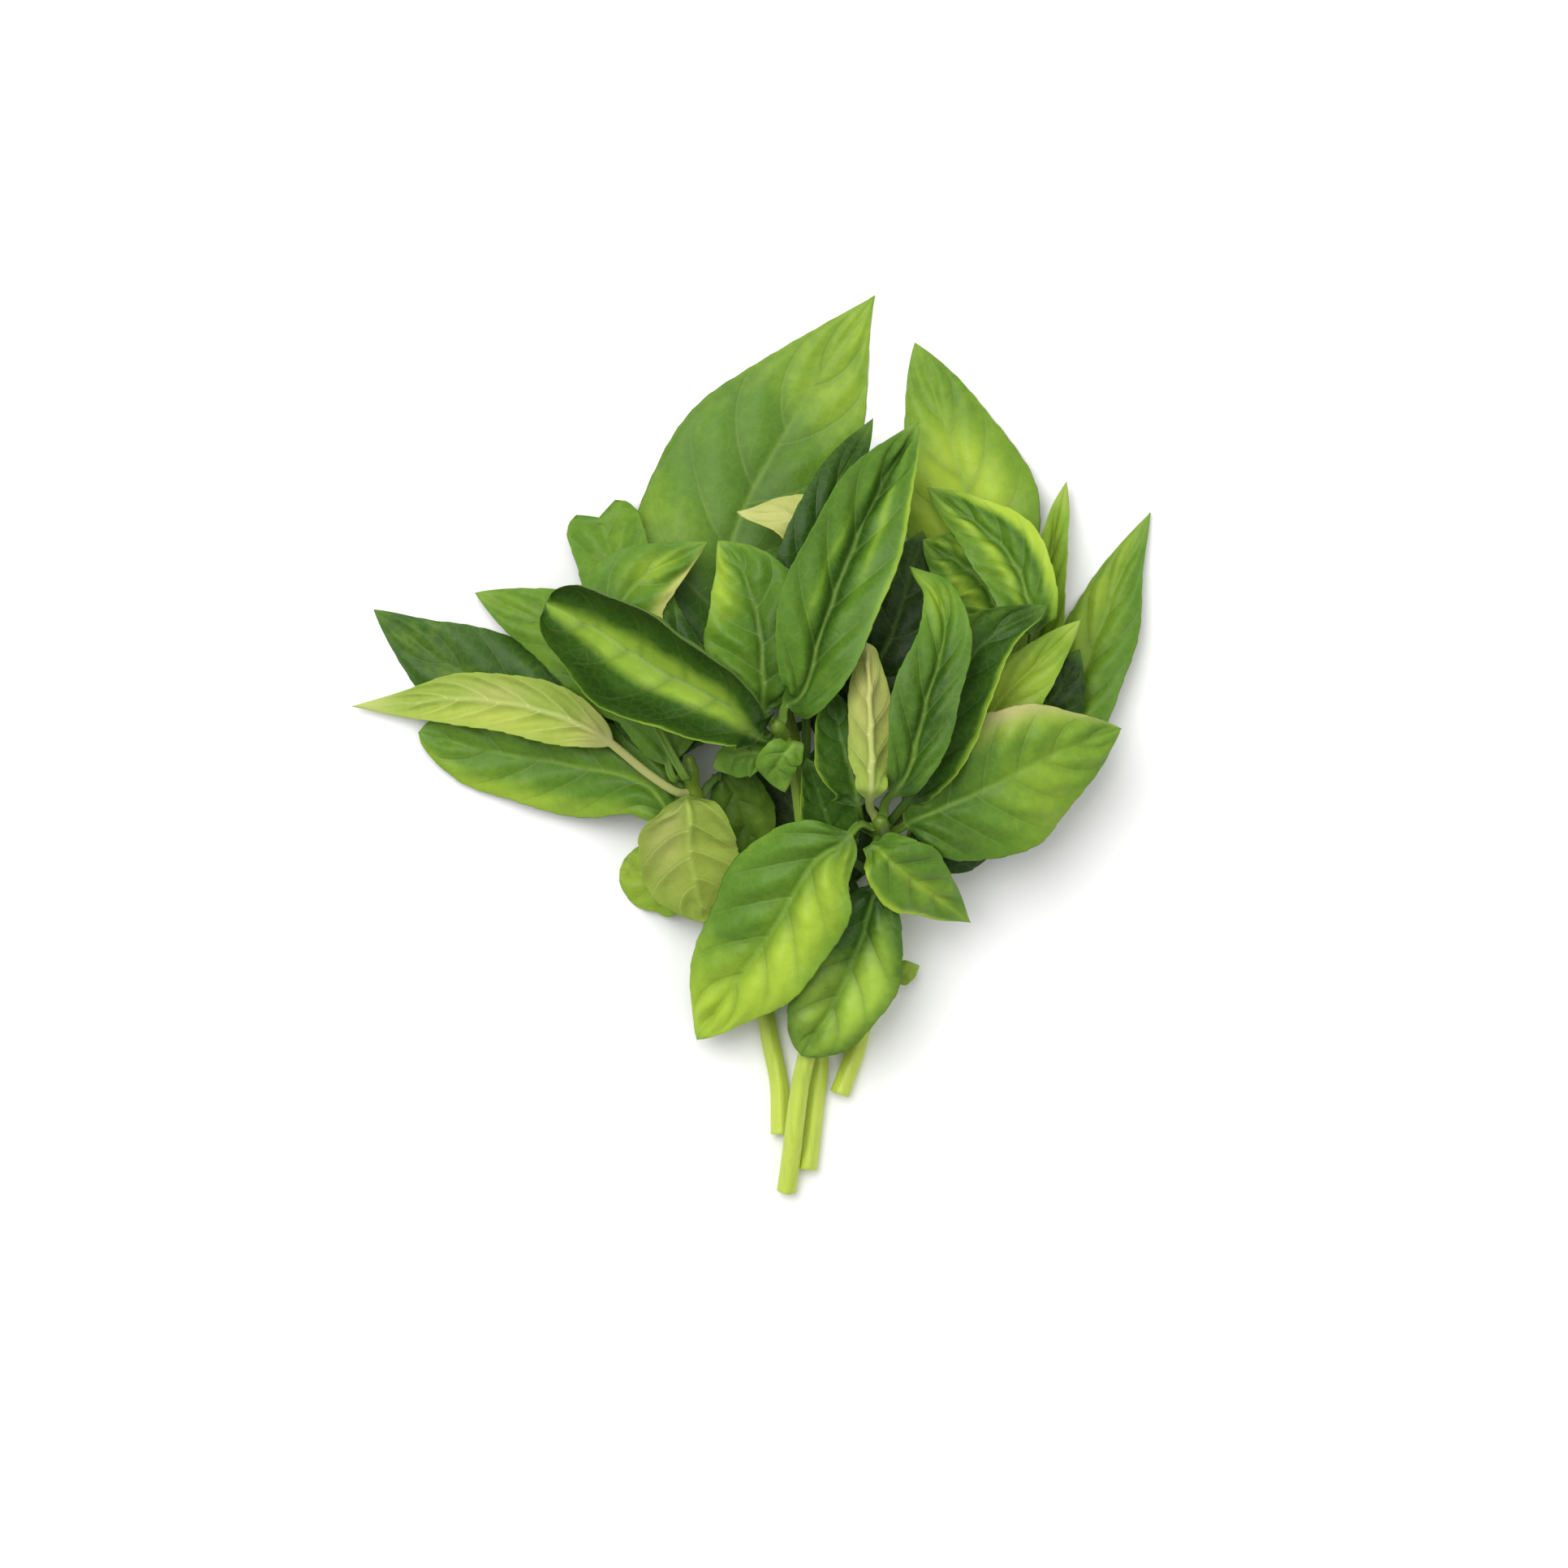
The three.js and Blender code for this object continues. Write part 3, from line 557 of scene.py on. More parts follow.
# the leaves over the stems, in the order in which they lie on each other
OVER = [
    LeafShape(
        "bumpy_leaf", "west", at=0.98, side=110, width=21, petiole=20, blunt=-0.1, pucker=1,
        pairs=4.5,
        path=[[-22, 8, 19], [-28, 21, 17], [-25, 33, 15], [-9, 42.5, 14]],
        glows=[(0.7, 0.95, 0.4, 0.25, 1.2), (0.74, -0.1, 0.12, 0.4, 0.8), (0.4, 0, 0.3, 1, -0.2)],
        blushes=[(0.75, 0.95, 0.3, 0.22, 0.7)],
    ),
    LeafShape(
        "pale_tip_leaf", "back", at=1, side=-70, width=15, petiole=14, roll=180, tint=Tint.PALE,
        pucker=0.4, relief=0.3, pairs=4.5,
        path=[[12.5, 29, 17], [15, 39, 18], [10, 47, 17], [-3, 48.5, 13]],
        glows=[(0.6, 0, 0.3, 1, 0.2)],
        blushes=[(0.8, 0, 0.4, 1.5, 0.6)],
    ),
    # on this leaf and the next, the glows paint the pleats:
    # painted highlights on the folds, painted shade in the grooves
    LeafShape(
        "grooved_leaf", "branch", at=0.95, side=170, width=19, petiole=12, fold=30, pucker=0.8,
        path=[[53, 22, 14], [48.5, 34, 13], [36, 43, 10]],
        glows=[(0.5, -0.45, 0.5, 0.14, 0.6), (0.5, 0.4, 0.5, 0.14, 0.7), (0.5, 0, 0.5, 0.12, -0.6)],
    ),
    LeafShape(
        "ridged_leaf", "branch", at=1, side=-90, width=16, petiole=10, fold=30, pucker=0.8,
        path=[[58.5, 28, 20], [53, 41, 15], [37, 54, 9]],
        glows=[(0.5, -0.35, 0.5, 0.16, 0.7), (0.5, 0, 0.5, 0.12, -0.6), (0.5, 0.9, 0.35, 0.25, 1.4),
               (0.5, 0.5, 0.4, 0.1, -0.7)],
    ),
    LeafShape(
        "olive_leaf", "west", at=0.9, side=110, width=22, petiole=5, roll=180, blunt=0.25,
        tint=Tint.LIGHT, pucker=0.45, relief=0.3, pairs=4.5,
        path=[[-13, -15, 19.5], [-13, -23, 15], [-10, -37.5, 8]],
        glows=[(0.5, 0.2, 0.4, 0.8, 0.55), (0.2, 0.3, 0.2, 0.8, -0.3)],
        blushes=[(0.3, -0.5, 0.3, 0.4, 0.3)],
    ),
    LeafShape(
        "pale_west_leaf", "west", at=0.92, side=150, width=13, petiole=22, roll=180, blunt=-0.15,
        tint=Tint.PALE, relief=0.35, pairs=6.5,
        path=[[-22, -6, 17], [-33, 2.5, 14], [-46, 7.5, 12], [-61, 9.5, 8], [-73, 8.5, 4], [-84.5,
              8, 2]],
        glows=[(0.5, 0.5, 0.35, 0.4, 0.55), (0.25, -0.3, 0.2, 0.4, -0.3),
               (0.8, -0.3, 0.3, 0.8, -0.4)],
        blushes=[(0, 0, 0.12, 2, 0.75), (0.45, -0.3, 0.12, 0.4, 0.35)],
    ),
    LeafShape(
        "dark_blade_leaf", "middle", at=0.87, side=-50, width=17, petiole=14, fold=32,
        tint=Tint.DARK, pucker=0.35,
        path=[[11.5, 14, 19], [13, 35, 17], [17.5, 53, 14], [25.5, 68.5, 9]],
        glows=[(0.5, 0, 1, 2, -0.55)],
    ),
    # and the light row along one margin is a painted highlight where the margin is lit
    # this leaf and the next lie in shadow in the whorl: their dark finish is painted shade,
    LeafShape(
        "lower_west_leaf", "east", at=0.75, side=175, width=15, petiole=7, curl=-60, tint=Tint.DARK,
        pucker=0.2,
        path=[[18.5, -22, 12], [14.5, -12, 12], [11.5, -3, 12]],
        glows=[(0.5, -0.95, 0.5, 0.14, 0.8)],
    ),
    LeafShape(
        "inner_west_leaf", "east", at=0.9, side=205, width=18, petiole=9, curl=-60, tint=Tint.DARK,
        pucker=0.2,
        path=[[21.5, -9, 18], [18.5, 2, 18], [17, 11, 17]],
        glows=[(0.5, -0.95, 0.5, 0.12, 0.8)],
    ),
    LeafShape(
        "inner_east_leaf", "east", at=0.88, side=-40, width=16, fold=30, tint=Tint.LIGHT,
        pucker=0.3,
        path=[[43, -2, 16], [53, 10, 14], [62, 19, 12], [69, 26, 9]],
        glows=[(0.5, 0, 0.5, 0.8, 0.4)],
    ),
    LeafShape(
        "southeast_leaf", "east", at=0.91, side=0, width=31, petiole=6, pucker=0.7, pairs=6,
        path=[[34, -16, 19], [48, -10, 15], [64, -2, 9], [77.5, 3.3, 4]],
        # the first row is painted shade near the leaf's foot, under the leaves over it
        glows=[(0.18, 0.4, 0.2, 0.8, -0.75), (0.6, 0.3, 0.5, 1.1, 0.4), (0.4, -0.3, 0.3, 0.2, -0.3),
               (0.4, -0.75, 0.4, 0.2, 0.5)],
        blushes=[(0.5, -1, 0.4, 0.24, 0.9)],
    ),
    LeafShape(
        "rim_leaf", "east", at=0.94, side=-35, width=20, petiole=8, curl=-50, tint=Tint.DARK,
        pucker=0.25,
        path=[[35, -8, 20], [40, 4, 20], [47.5, 20, 18], [62, 29, 13]],
        # the first row is a painted highlight along the lit margin
        glows=[(0.5, 1, 0.6, 0.16, 1), (0.5, 0.2, 0.6, 0.5, -0.3)],
    ),
    LeafShape(
        "tan_leaf", "east", at=0.98, side=245, width=14, petiole=7, fold=60, roll=180, blunt=0.3,
        tint=Tint.PALE, pucker=0.3, relief=0.3, pairs=4.5,
        path=[[25, -6, 26], [24.5, 13, 22], [24, 21, 21]],
        glows=[(0.8, 0, 0.3, 1, 0.3), (0.1, 0, 0.2, 1, -0.6)],
        blushes=[(0.75, 0, 0.4, 1, 0.55)],
    ),
    LeafShape(
        "striped_leaf", "east", at=1, side=-70, width=16, petiole=7, fold=45,
        path=[[32.5, -6, 25], [36.5, 9, 24], [40, 21.5, 21], [39, 31, 19], [33, 37, 16]],
        # the second and third rows are a painted highlight and painted shade along its folds
        glows=[(0.85, -0.2, 0.25, 0.8, 0.8), (0.4, -0.4, 0.4, 0.15, 0.3),
               (0.4, 0.25, 0.4, 0.15, -0.5), (0.3, 0, 0.45, 1.2, -1)],
    ),
    LeafShape(
        "tiny_leaf", "east", at=0.39, side=0, width=5, petiole=3, tint=Tint.LIGHT, pucker=0.2,
        pairs=3.5,
        path=[[35.4, -46.8, 5]],
        glows=[(0.6, 0, 0.5, 1, 0.3)],
    ),
    LeafShape(
        "low_leaf", "east", at=0.72, side=120, width=23, petiole=6, fold=30, blunt=0.3,
        tint=Tint.DARK, pucker=0.6, pairs=4.5,
        path=[[25.5, -31, 15.5], [23, -41, 12], [17.5, -54, 6], [10.5, -65.5, 1]],
        # the first row is painted shade where the leaf runs under the small southeast leaf;
        # the second is a painted highlight on the half of the fold turned to the light
        glows=[(0.12, 0, 0.2, 1.5, -0.4), (0.55, -0.5, 0.45, 0.42, 1.1),
               (0.85, 0.3, 0.2, 0.5, 0.45), (0.6, 0.5, 0.35, 0.5, 0.4)],
    ),
    LeafShape(
        "small_southeast_leaf", "east", at=0.93, side=115, width=15.5, petiole=4.5, fold=22,
        blunt=-0.2, pairs=4.5,
        path=[[26.7, -22.2, 20.5], [31, -26.2, 17], [38.8, -32, 10], [46, -37.5, 4]],
        glows=[(0.45, 0, 0.5, 0.16, 0.8), (0.5, 0.95, 0.5, 0.12, 1), (0.75, 0, 0.3, 1, 0.25),
               (0.3, -0.6, 0.25, 0.3, -0.4)],
    ),
    LeafShape(
        "front_leaf", "east", at=0.96, side=185, width=28, petiole=8, fold=22, blunt=0.1,
        pucker=0.9,
        path=[[19, -20.5, 23], [12.5, -25.5, 19.5], [5, -38, 12.5], [-3.5, -50.5, 5.5], [-11.5,
              -62.3, 1]],
        # and a painted highlight on the half turned to the light
        # the first two rows are painted shade on one half of the fold
        glows=[(0.4, 0.5, 0.32, 0.42, -0.2), (0.45, -0.5, 0.5, 0.42, 0.9),
               (0.95, 0, 0.3, 1.6, 1.1)],
    ),
    LeafShape(
        "tab_leaf", "middle", at=0.91, side=170, width=10, petiole=5, pucker=0.2, pairs=3.5,
        path=[[-1.5, -2, 22], [-8, -5, 18]],
    ),
    LeafShape(
        "drop_leaf", "middle", at=0.96, side=80, width=9, petiole=4, pucker=0.2, pairs=3.5,
        path=[[5.5, -4.5, 24], [7, -10, 19]],
    ),
    LeafShape(
        "centre_leaf", "middle", at=0.99, side=260, width=24, petiole=5, fold=15, pucker=1, pairs=5,
        path=[[2.5, 12.5, 28], [1.5, 25, 27], [-2, 36, 25], [-7, 42.5, 22]],
        glows=[(0.78, -0.7, 0.25, 0.4, 0.8), (0.4, 0, 0.4, 0.08, -0.8), (0.2, 0.5, 0.25, 0.6, -0.5),
               (0.5, 0.3, 0.3, 0.5, -0.3)],
    ),
    LeafShape(
        "upright_leaf", "middle", at=1, side=-35, width=25, petiole=5, fold=50, pucker=0.7,
        path=[[11, 11, 28], [15.5, 26, 27], [24.5, 48.5, 24], [35, 67.5, 14]],
        # painted light and shade: darker over the blade and in the crease along the midrib,
        # with painted highlights beside the crease and along one margin
        glows=[(0.5, 0, 0.6, 1.5, -0.45), (0.55, 0, 0.5, 0.25, -1), (0.45, -0.4, 0.3, 0.1, 0.7),
               (0.62, 0.45, 0.25, 0.13, 0.9), (0.65, 0.98, 0.4, 0.1, 0.9)],
    ),
    LeafShape(
        "boat_leaf", "middle", at=0.97, side=195, width=40, petiole=5, roll=10, fold=20, curl=-70,
        blunt=0.45, tint=Tint.DARK, pucker=0.45, pairs=5,
        path=[[-6, 8.5, 26], [-19, 15.5, 24], [-31.5, 23.5, 22], [-43, 29.5, 20]],
        # and the lower rim, painted shade on the two inner walls
        # painted light and shade of the cupped blade: painted highlights along the floor of the cup
        glows=[(0.5, -0.05, 0.5, 0.2, 1.9), (0.5, 0.75, 0.6, 0.35, -1),
               (0.5, -0.62, 0.5, 0.25, -0.75), (0.3, -1, 0.45, 0.1, 1.4)],
    ),
]

# ---- the fine shape of stems and leaves, as real sizes ----
FOOT_ROWS = 4
STALK_ROWS = 12
BLADE_ROWS = 76
COLUMNS = 45
ROW_CROWDING = 1.35  # rows stand closer where the blade opens
EDGE_CROWDING = 0.6  # columns stand closer towards the margins
STALK_HALF_WIDTH = 0.85
STALK_HALF_DEPTH = 0.62
STALK_FLARE = 0.4  # how much wider a petiole is at its foot, as a share
STALK_FLARE_REACH = 1.6
STALK_GROOVE = 0.3  # depth of the groove along its top
STALK_GROOVE_WIDTH = 0.36
SHEET_HALF = 0.17  # half the thickness of a blade
SHEET_ROUNDNESS = 6  # how squarely the blade's section ends at its margins
RIB_DEPTH = 0.5
RIB_WIDTH = 0.7
TIP_HALF_WIDTH = 0.06
TOOTH_DEPTH = 0.24
TOOTH_PITCH = 4.4
TOOTH_SPAN = (2.0, 6.0)  # half-widths between which the teeth grow to their full depth
LOPSIDED = 0.05  # how much wider one side may be than the other, as a share
BARE_PETIOLE = 2.0  # least length of petiole that is seen
EARLY_BLADE = 2.0  # how much sooner than in the massing a blade opens
WANDER = 0.045  # how much its outline strays, as a share of the half-width
WANDER_WAVES = 2.3
NOTCH_FROM = 0.9  # share of the blade where a notched tip starts
NOTCH_DEPTH = 0.55  # of the notch, as a share of its half-width
SHEET_SPAN = (0.9, 3.0)  # half-widths between which a stalk flattens into a blade
RELIEF_SPAN = (1.5, 5.0)  # half-widths between which the relief grows
RELIEF_START = (0.0, 0.08)  # shares of the blade between which it starts and ends
RELIEF_END = (0.88, 1.0)
RUFFLE_SPAN = (2.0, 7.0)  # the same for the ruffled margins
RUFFLE_END = (0.85, 1.0)
TABLE_GAP = 0.02
CHART_WIDTH = 4.2  # of both skins side by side, in half-widths of the leaf
CHART_MIDDLES = (1.05, 3.15)
LOOKS_SEED = 41

STEM_STEP = 0.8
NODE_SWELL = 0.2  # how much a stem swells where a leaf leaves it, as a share
NODE_REACH = 1.3
MOST_SWELL = 1.5  # of all swellings at one place, for each swelling of one leaf
CUT_PROFILE = ((0.0, 0.03, 1.0), (0.02, 0.5, 1.0), (0.05, 0.9, 0.55), (0.22, 1.0, 0.0))
DOME_SINK = 0.4  # of the rounded top, in radii
DOME_RISE = 1.9
DOME_STEPS = 7
DOME_ROUNDNESS = 0.8
LEAST_GIRTH = 0.02
BRANCH_SPRING = (27.2, -32.5, 10.0)  # where the side shoot leaves the axis of the east stem


@dataclass
class Grid:
    """The laid middle surface of a leaf, in rows from its foot to its tip."""

    spot: np.ndarray
    normal: np.ndarray
    along: np.ndarray
    across: np.ndarray
    half: np.ndarray
    reach: np.ndarray


def column_places() -> np.ndarray:
    """Gives the places between the margins, closer together towards them."""
    even = np.linspace(-1.0, 1.0, COLUMNS)
    return (1 - EDGE_CROWDING) * even + EDGE_CROWDING * np.sin(even * math.pi / 2)


def surface_normals(spot: np.ndarray) -> np.ndarray:
    """Gives the upper face's normals of a grid of points."""
    return unit(np.cross(np.gradient(spot, axis=1), np.gradient(spot, axis=0)))


def laid_grid(leaf: LeafShape, chance: np.random.Generator) -> Grid:
    """Works out the fine middle surface of a laid leaf.

    Args:
        leaf: the leaf, after it was laid.
        chance: the source of its small irregularities.

    Returns:
        The grid of its middle surface, from inside the stem to the tip.
    """
    length = leaf.course.length
    lean = chance.uniform(-LOPSIDED, LOPSIDED)
    tooth_phase = chance.uniform(0.0, 1.0, 2)
    bare = max(leaf.petiole - EARLY_BLADE, BARE_PETIOLE)
    petiole = bare / length
    opening = np.linspace(0.0, 1.0, BLADE_ROWS + 1)[1:] ** ROW_CROWDING
    share_rows = np.concatenate([
        np.zeros(FOOT_ROWS),
        np.linspace(0.0, petiole, STALK_ROWS),
        petiole + (1 - petiole) * opening,
    ])
    sink_rows = np.zeros(len(share_rows))
    sink_rows[:FOOT_ROWS] = np.linspace(leaf.joint_depth, 0.0, FOOT_ROWS + 1)[:-1]
    share, across = (a.ravel() for a in np.meshgrid(share_rows, column_places(), indexing="ij"))
    sink = np.repeat(sink_rows, COLUMNS)
    blade = np.clip((share - petiole) / (1 - petiole), 0.0, 1.0)
    sign = np.sign(across)
    from_foot = share * length + leaf.joint_depth - sink
    flare = 1 + STALK_FLARE * np.exp(-((from_foot / STALK_FLARE_REACH) ** 2))
    stalk = (1 - blade) * STALK_HALF_WIDTH * flare
    sheet = leaf.outline(blade) * leaf.width / 2
    margin = blade * (length - bare) / TOOTH_PITCH
    offset = np.where(sign > 0, tooth_phase[0], tooth_phase[1])
    saw = (margin + offset) % 1.0
    tooth = TOOTH_DEPTH * (saw - 0.5) * smoothstep(sheet, *TOOTH_SPAN)
    stray = np.sin(math.tau * (WANDER_WAVES * blade + offset)) * WANDER
    half = np.hypot(sheet * (1 + lean * sign + stray) + tooth, stalk) + TIP_HALF_WIDTH
    near_tip = smoothstep(blade, NOTCH_FROM, 1.0) * leaf.notch
    half = np.maximum(half, near_tip)
    share = share - near_tip * (1 - np.abs(across)) * NOTCH_DEPTH / length
    spot = leaf.raised(leaf.design(across, share, half), across, share)
    spot -= leaf.outward * sink[:, None]
    shape = (len(share_rows), COLUMNS)
    spot = spot.reshape(*shape, 3)
    rest = (values.reshape(shape) for values in (blade, across, half, from_foot))
    return Grid(spot, surface_normals(spot), *rest)


@dataclass
class Skin:
    """A mesh with the numbers that its relief and its finish are drawn by."""

    name: str
    points: np.ndarray
    numbers: dict
    faces: list = field(default_factory=list)
    push: Optional[np.ndarray] = None
    chart: Optional[np.ndarray] = None

    def as_object(self) -> bpy.types.Object:
        """Makes the mesh in metres, with one object at the origin.

        Returns:
            The new object, linked to the scene.
        """
        mesh = bpy.data.meshes.new(self.name)
        edges = [] if self.faces else [(i, i + 1) for i in range(len(self.points) - 1)]
        mesh.from_pydata((self.points * MM).tolist(), edges, self.faces)
        for title, values in self.numbers.items():
            fill(mesh.attributes.new(title, "FLOAT", "POINT").data, "value", values)
        if self.push is not None:
            layer = mesh.attributes.new("push", "FLOAT_VECTOR", "POINT")
            fill(layer.data, "vector", self.push)
        if self.chart is not None:
            fill(mesh.uv_layers.new(name="UVMap").uv, "vector", self.chart)
        if self.faces:
            mesh.polygons.foreach_set("use_smooth", np.ones(len(mesh.polygons), bool))
        mesh.update()
        piece = bpy.data.objects.new(self.name, mesh)
        bpy.context.scene.collection.objects.link(piece)
        return piece


def fill(layer: object, kind: str, values: np.ndarray) -> None:
    """Writes an array into a layer of a mesh."""
    layer.foreach_set(kind, np.asarray(values, np.float32).ravel())


@dataclass
class LeafSkin:
    """The thin closed body around a leaf's middle surface, with an upper and a lower skin."""

    leaf: LeafShape
    grid: Grid

    @property
    def shape(self) -> tuple[int, int]:
        """How many rows and columns the grid has."""
        return self.grid.across.shape

    def both(self, upper: np.ndarray, lower: Optional[np.ndarray] = None) -> np.ndarray:
        """Lists values for the points of the upper skin and then of the lower one.

        The two skins share the points of the margins, which aren't listed again.

        Args:
            upper: the values in rows.
            lower: those of the lower skin, if they are others.

        Returns:
            One value for each point of the mesh.
        """
        inside = (upper if lower is None else lower)[:, 1:-1]
        deep = upper.shape[2:]
        return np.concatenate([upper.reshape(-1, *deep), inside.reshape(-1, *deep)])

    def thickness(self, sheet: np.ndarray) -> tuple[np.ndarray, np.ndarray]:
        """Measures from the middle surface to the two skins.

        Args:
            sheet: 0 where the leaf is a stalk, 1 where it is a blade.

        Returns:
            The distance to the upper skin and to the lower one.
        """
        across = self.grid.across
        room = np.clip(1 - across**2, 0.0, 1.0)
        inner = across * self.grid.half
        stalk = STALK_HALF_DEPTH * np.sqrt(room)
        groove = STALK_GROOVE * np.exp(-((inner / STALK_GROOVE_WIDTH) ** 2))
        flat = SHEET_HALF * np.sqrt(np.clip(1 - across**SHEET_ROUNDNESS, 0.0, 1.0))
        rib = RIB_DEPTH * np.exp(-((inner / RIB_WIDTH) ** 2)) * (1 - self.grid.along)
        upper = (1 - sheet) * np.maximum(stalk - groove * (room > 0), 0.0) + sheet * flat
        lower = (1 - sheet) * stalk + sheet * (flat + rib * (room > 0))
        return upper, lower

    def faces(self) -> tuple[list, np.ndarray]:
        """Joins the points of both skins and closes them at the foot and at the tip.

        Returns:
            The faces, and for each one 1 on the upper skin and -1 elsewhere.
        """
        rows, columns = self.shape
        top = np.arange(rows * columns).reshape(rows, columns)
        under = top.copy()
        inside = rows * columns + np.arange(rows * (columns - 2))
        under[:, 1:-1] = inside.reshape(rows, -1)
        quads, flags = [], []
        for skin, flag in ((top, 1), (under, -1)):
            a, b, c, d = skin[:-1, :-1], skin[:-1, 1:], skin[1:, 1:], skin[1:, :-1]
            corners = (a, b, c, d) if flag > 0 else (a, d, c, b)
            quads.append(np.stack([k.ravel() for k in corners], 1))
            flags.append(np.full(len(quads[-1]), flag))
        for row in (0, -1):
            a, b, c, d = top[row, :-1], under[row, :-1], under[row, 1:], top[row, 1:]
            quads.append(np.stack((a, d, c, b) if row else (a, b, c, d), 1))
            flags.append(np.full(len(quads[-1]), -1))
        faces = [list(dict.fromkeys(face)) for face in np.concatenate(quads).tolist()]
        return faces, np.concatenate(flags)

    def chart(self, faces: list, flags: np.ndarray) -> np.ndarray:
        """Spreads the two skins out flat beside each other.

        Args:
            faces: the faces of the skins.
            flags: 1 for each face of the upper one, -1 for the others.

        Returns:
            The place on the chart of each corner of each face.
        """
        corner_flags = np.repeat(flags, [len(face) for face in faces])
        corner_points = np.concatenate([np.array(face) for face in faces])
        wide = float(self.grid.half.max())
        scale = 1 / max(float(self.grid.reach.max()), CHART_WIDTH * wide)
        sideways = self.both(self.grid.across * self.grid.half)[corner_points] * scale
        onwards = self.both(self.grid.reach)[corner_points] * scale
        middle = np.where(corner_flags > 0, *CHART_MIDDLES) * wide * scale
        return np.stack([middle + sideways * corner_flags, onwards], 1)

    def painted(self, patches: list, least: float) -> np.ndarray:
        """Adds up soft patches, which are stronger in their middle and fade out smoothly.

        Args:
            patches: along, across, reach, spread and strength of each patch.
            least: the least that their sum may be; the most is 1.

        Returns:
            The sum at each place of the grid.
        """
        total = np.zeros(self.shape)
        for along, across, reach, spread, strength in patches:
            lengthwise = ((self.grid.along - along) / reach) ** 2
            crosswise = ((self.grid.across - across) / spread) ** 2
            total += strength * np.exp(-lengthwise - crosswise)
        return np.clip(total, least, 1.0)

    def numbers(self, sheet: np.ndarray) -> dict:
        """Works out what the relief and the finish are drawn by.

        Args:
            sheet: 0 where the leaf is a stalk, 1 where it is a blade.

        Returns:
            The values at each point, by the names that the trees read.
        """
        along, across, half = self.grid.along, self.grid.across, self.grid.half
        start = smoothstep(along, *RELIEF_START)
        relief = smoothstep(half, *RELIEF_SPAN) * (1 - across**4) * start
        relief = relief * (1 - smoothstep(along, *RELIEF_END))
        ruffle = across**2 * smoothstep(half, *RUFFLE_SPAN) * (1 - smoothstep(along, *RUFFLE_END))
        side = np.ones(self.shape)
        side[:, [0, -1]] = 0.0
        made = {
            "along": along, "across": across, "span": half, "relief": relief, "ruffle": ruffle,
            # fresh sums the glows: partly the leaf's own colour, partly painted highlights and
            # painted shade
            "fresh": self.painted(self.leaf.glows, -1.0),
            "blush": self.painted(self.leaf.blushes, 0.0),
            "stalk": 1 - sheet, "pairs": np.full(self.shape, self.leaf.pairs),
        }
        return {title: self.both(values) for title, values in made.items()} | {
            "skin": self.both(side, -side),
        }

    def closed(self) -> Skin:
        """Makes the skin of the leaf.

        Returns:
            The closed skin with its attributes.
        """
        grid = self.grid
        sheet = smoothstep(grid.half, *SHEET_SPAN)
        upper, lower = self.thickness(sheet)
        top = grid.spot + grid.normal * upper[..., None]
        under = grid.spot - grid.normal * lower[..., None]
        faces, flags = self.faces()
        return Skin(
            f"{self.leaf.name}_blade", self.both(top, under), self.numbers(sheet), faces,
            self.both(grid.normal), self.chart(faces, flags),
        )


# ---- reckoning with sockets ----
Number = Union[float, "Wire"]


class Wire:
    """A number that varies over a surface, as a socket that can be reckoned with."""

    def __init__(self, tree: bpy.types.NodeTree, socket: bpy.types.NodeSocket) -> None:
        """Keeps the socket and its tree."""
        self.tree = tree
        self.socket = socket

    def step(self, operation: str, *others: Number, clamp: bool = False) -> "Wire":
        """Adds one Math node.

        Args:
            operation: the node's operation.
            others: its further inputs.
            clamp: whether the answer is kept from 0 to 1.

        Returns:
            The answer.
        """
        node = self.tree.nodes.new("ShaderNodeMath")
        node.operation = operation
        node.use_clamp = clamp
        for socket, value in zip(node.inputs, (self, *others)):
            feed(self.tree, value, socket)
        return Wire(self.tree, node.outputs[0])

    def __add__(self, other: Number) -> "Wire":
        """Adds."""
        return self.step("ADD", other)

    def __sub__(self, other: Number) -> "Wire":
        """Subtracts."""
        return self.step("SUBTRACT", other)

    def __rsub__(self, other: float) -> "Wire":
        """Subtracts from a plain number."""
        return self.step("MULTIPLY_ADD", -1.0, other)

    def __mul__(self, other: Number) -> "Wire":
        """Multiplies."""
        return self.step("MULTIPLY", other)

    def __neg__(self) -> "Wire":
        """Turns the sign."""
        return self.step("MULTIPLY", -1.0)

    def power(self, exponent: Number) -> "Wire":
        """Raises to a power."""
        return self.step("POWER", exponent)

    def size(self) -> "Wire":
        """Drops the sign."""
        return self.step("ABSOLUTE")

    def cosine(self) -> "Wire":
        """Takes the cosine."""
        return self.step("COSINE")

    def held(self) -> "Wire":
        """Keeps the number from 0 to 1."""
        return self.step("ADD", 0.0, clamp=True)

    def ramp(self, slope: float, offset: float) -> "Wire":
        """Gives slope times the number plus an offset, kept from 0 to 1."""
        return self.step("MULTIPLY_ADD", slope, offset, clamp=True)

    def bell(self, width: Number) -> "Wire":
        """Gives 1 at zero, falling smoothly away over a width."""
        ratio = self.step("DIVIDE", width)
        return (-(ratio * ratio)).step("EXPONENT")


def feed(tree: bpy.types.NodeTree, value: object, socket: bpy.types.NodeSocket) -> None:
    """Links a wire or a socket to an input, or sets the input's own value.

    Args:
        tree: the tree that holds the input.
        value: a wire, a socket or a plain value.
        socket: the input.
    """
    if isinstance(value, Wire):
        value = value.socket
    if isinstance(value, bpy.types.NodeSocket):
        tree.links.new(value, socket)
    else:
        socket.default_value = value


@dataclass(frozen=True)
class Noise:
    """Soft noise: lumps to the metre, finer layers, strength, and what tells it from others."""

    scale: float
    detail: float
    strength: float = 1.0
    apart: float = 0.0


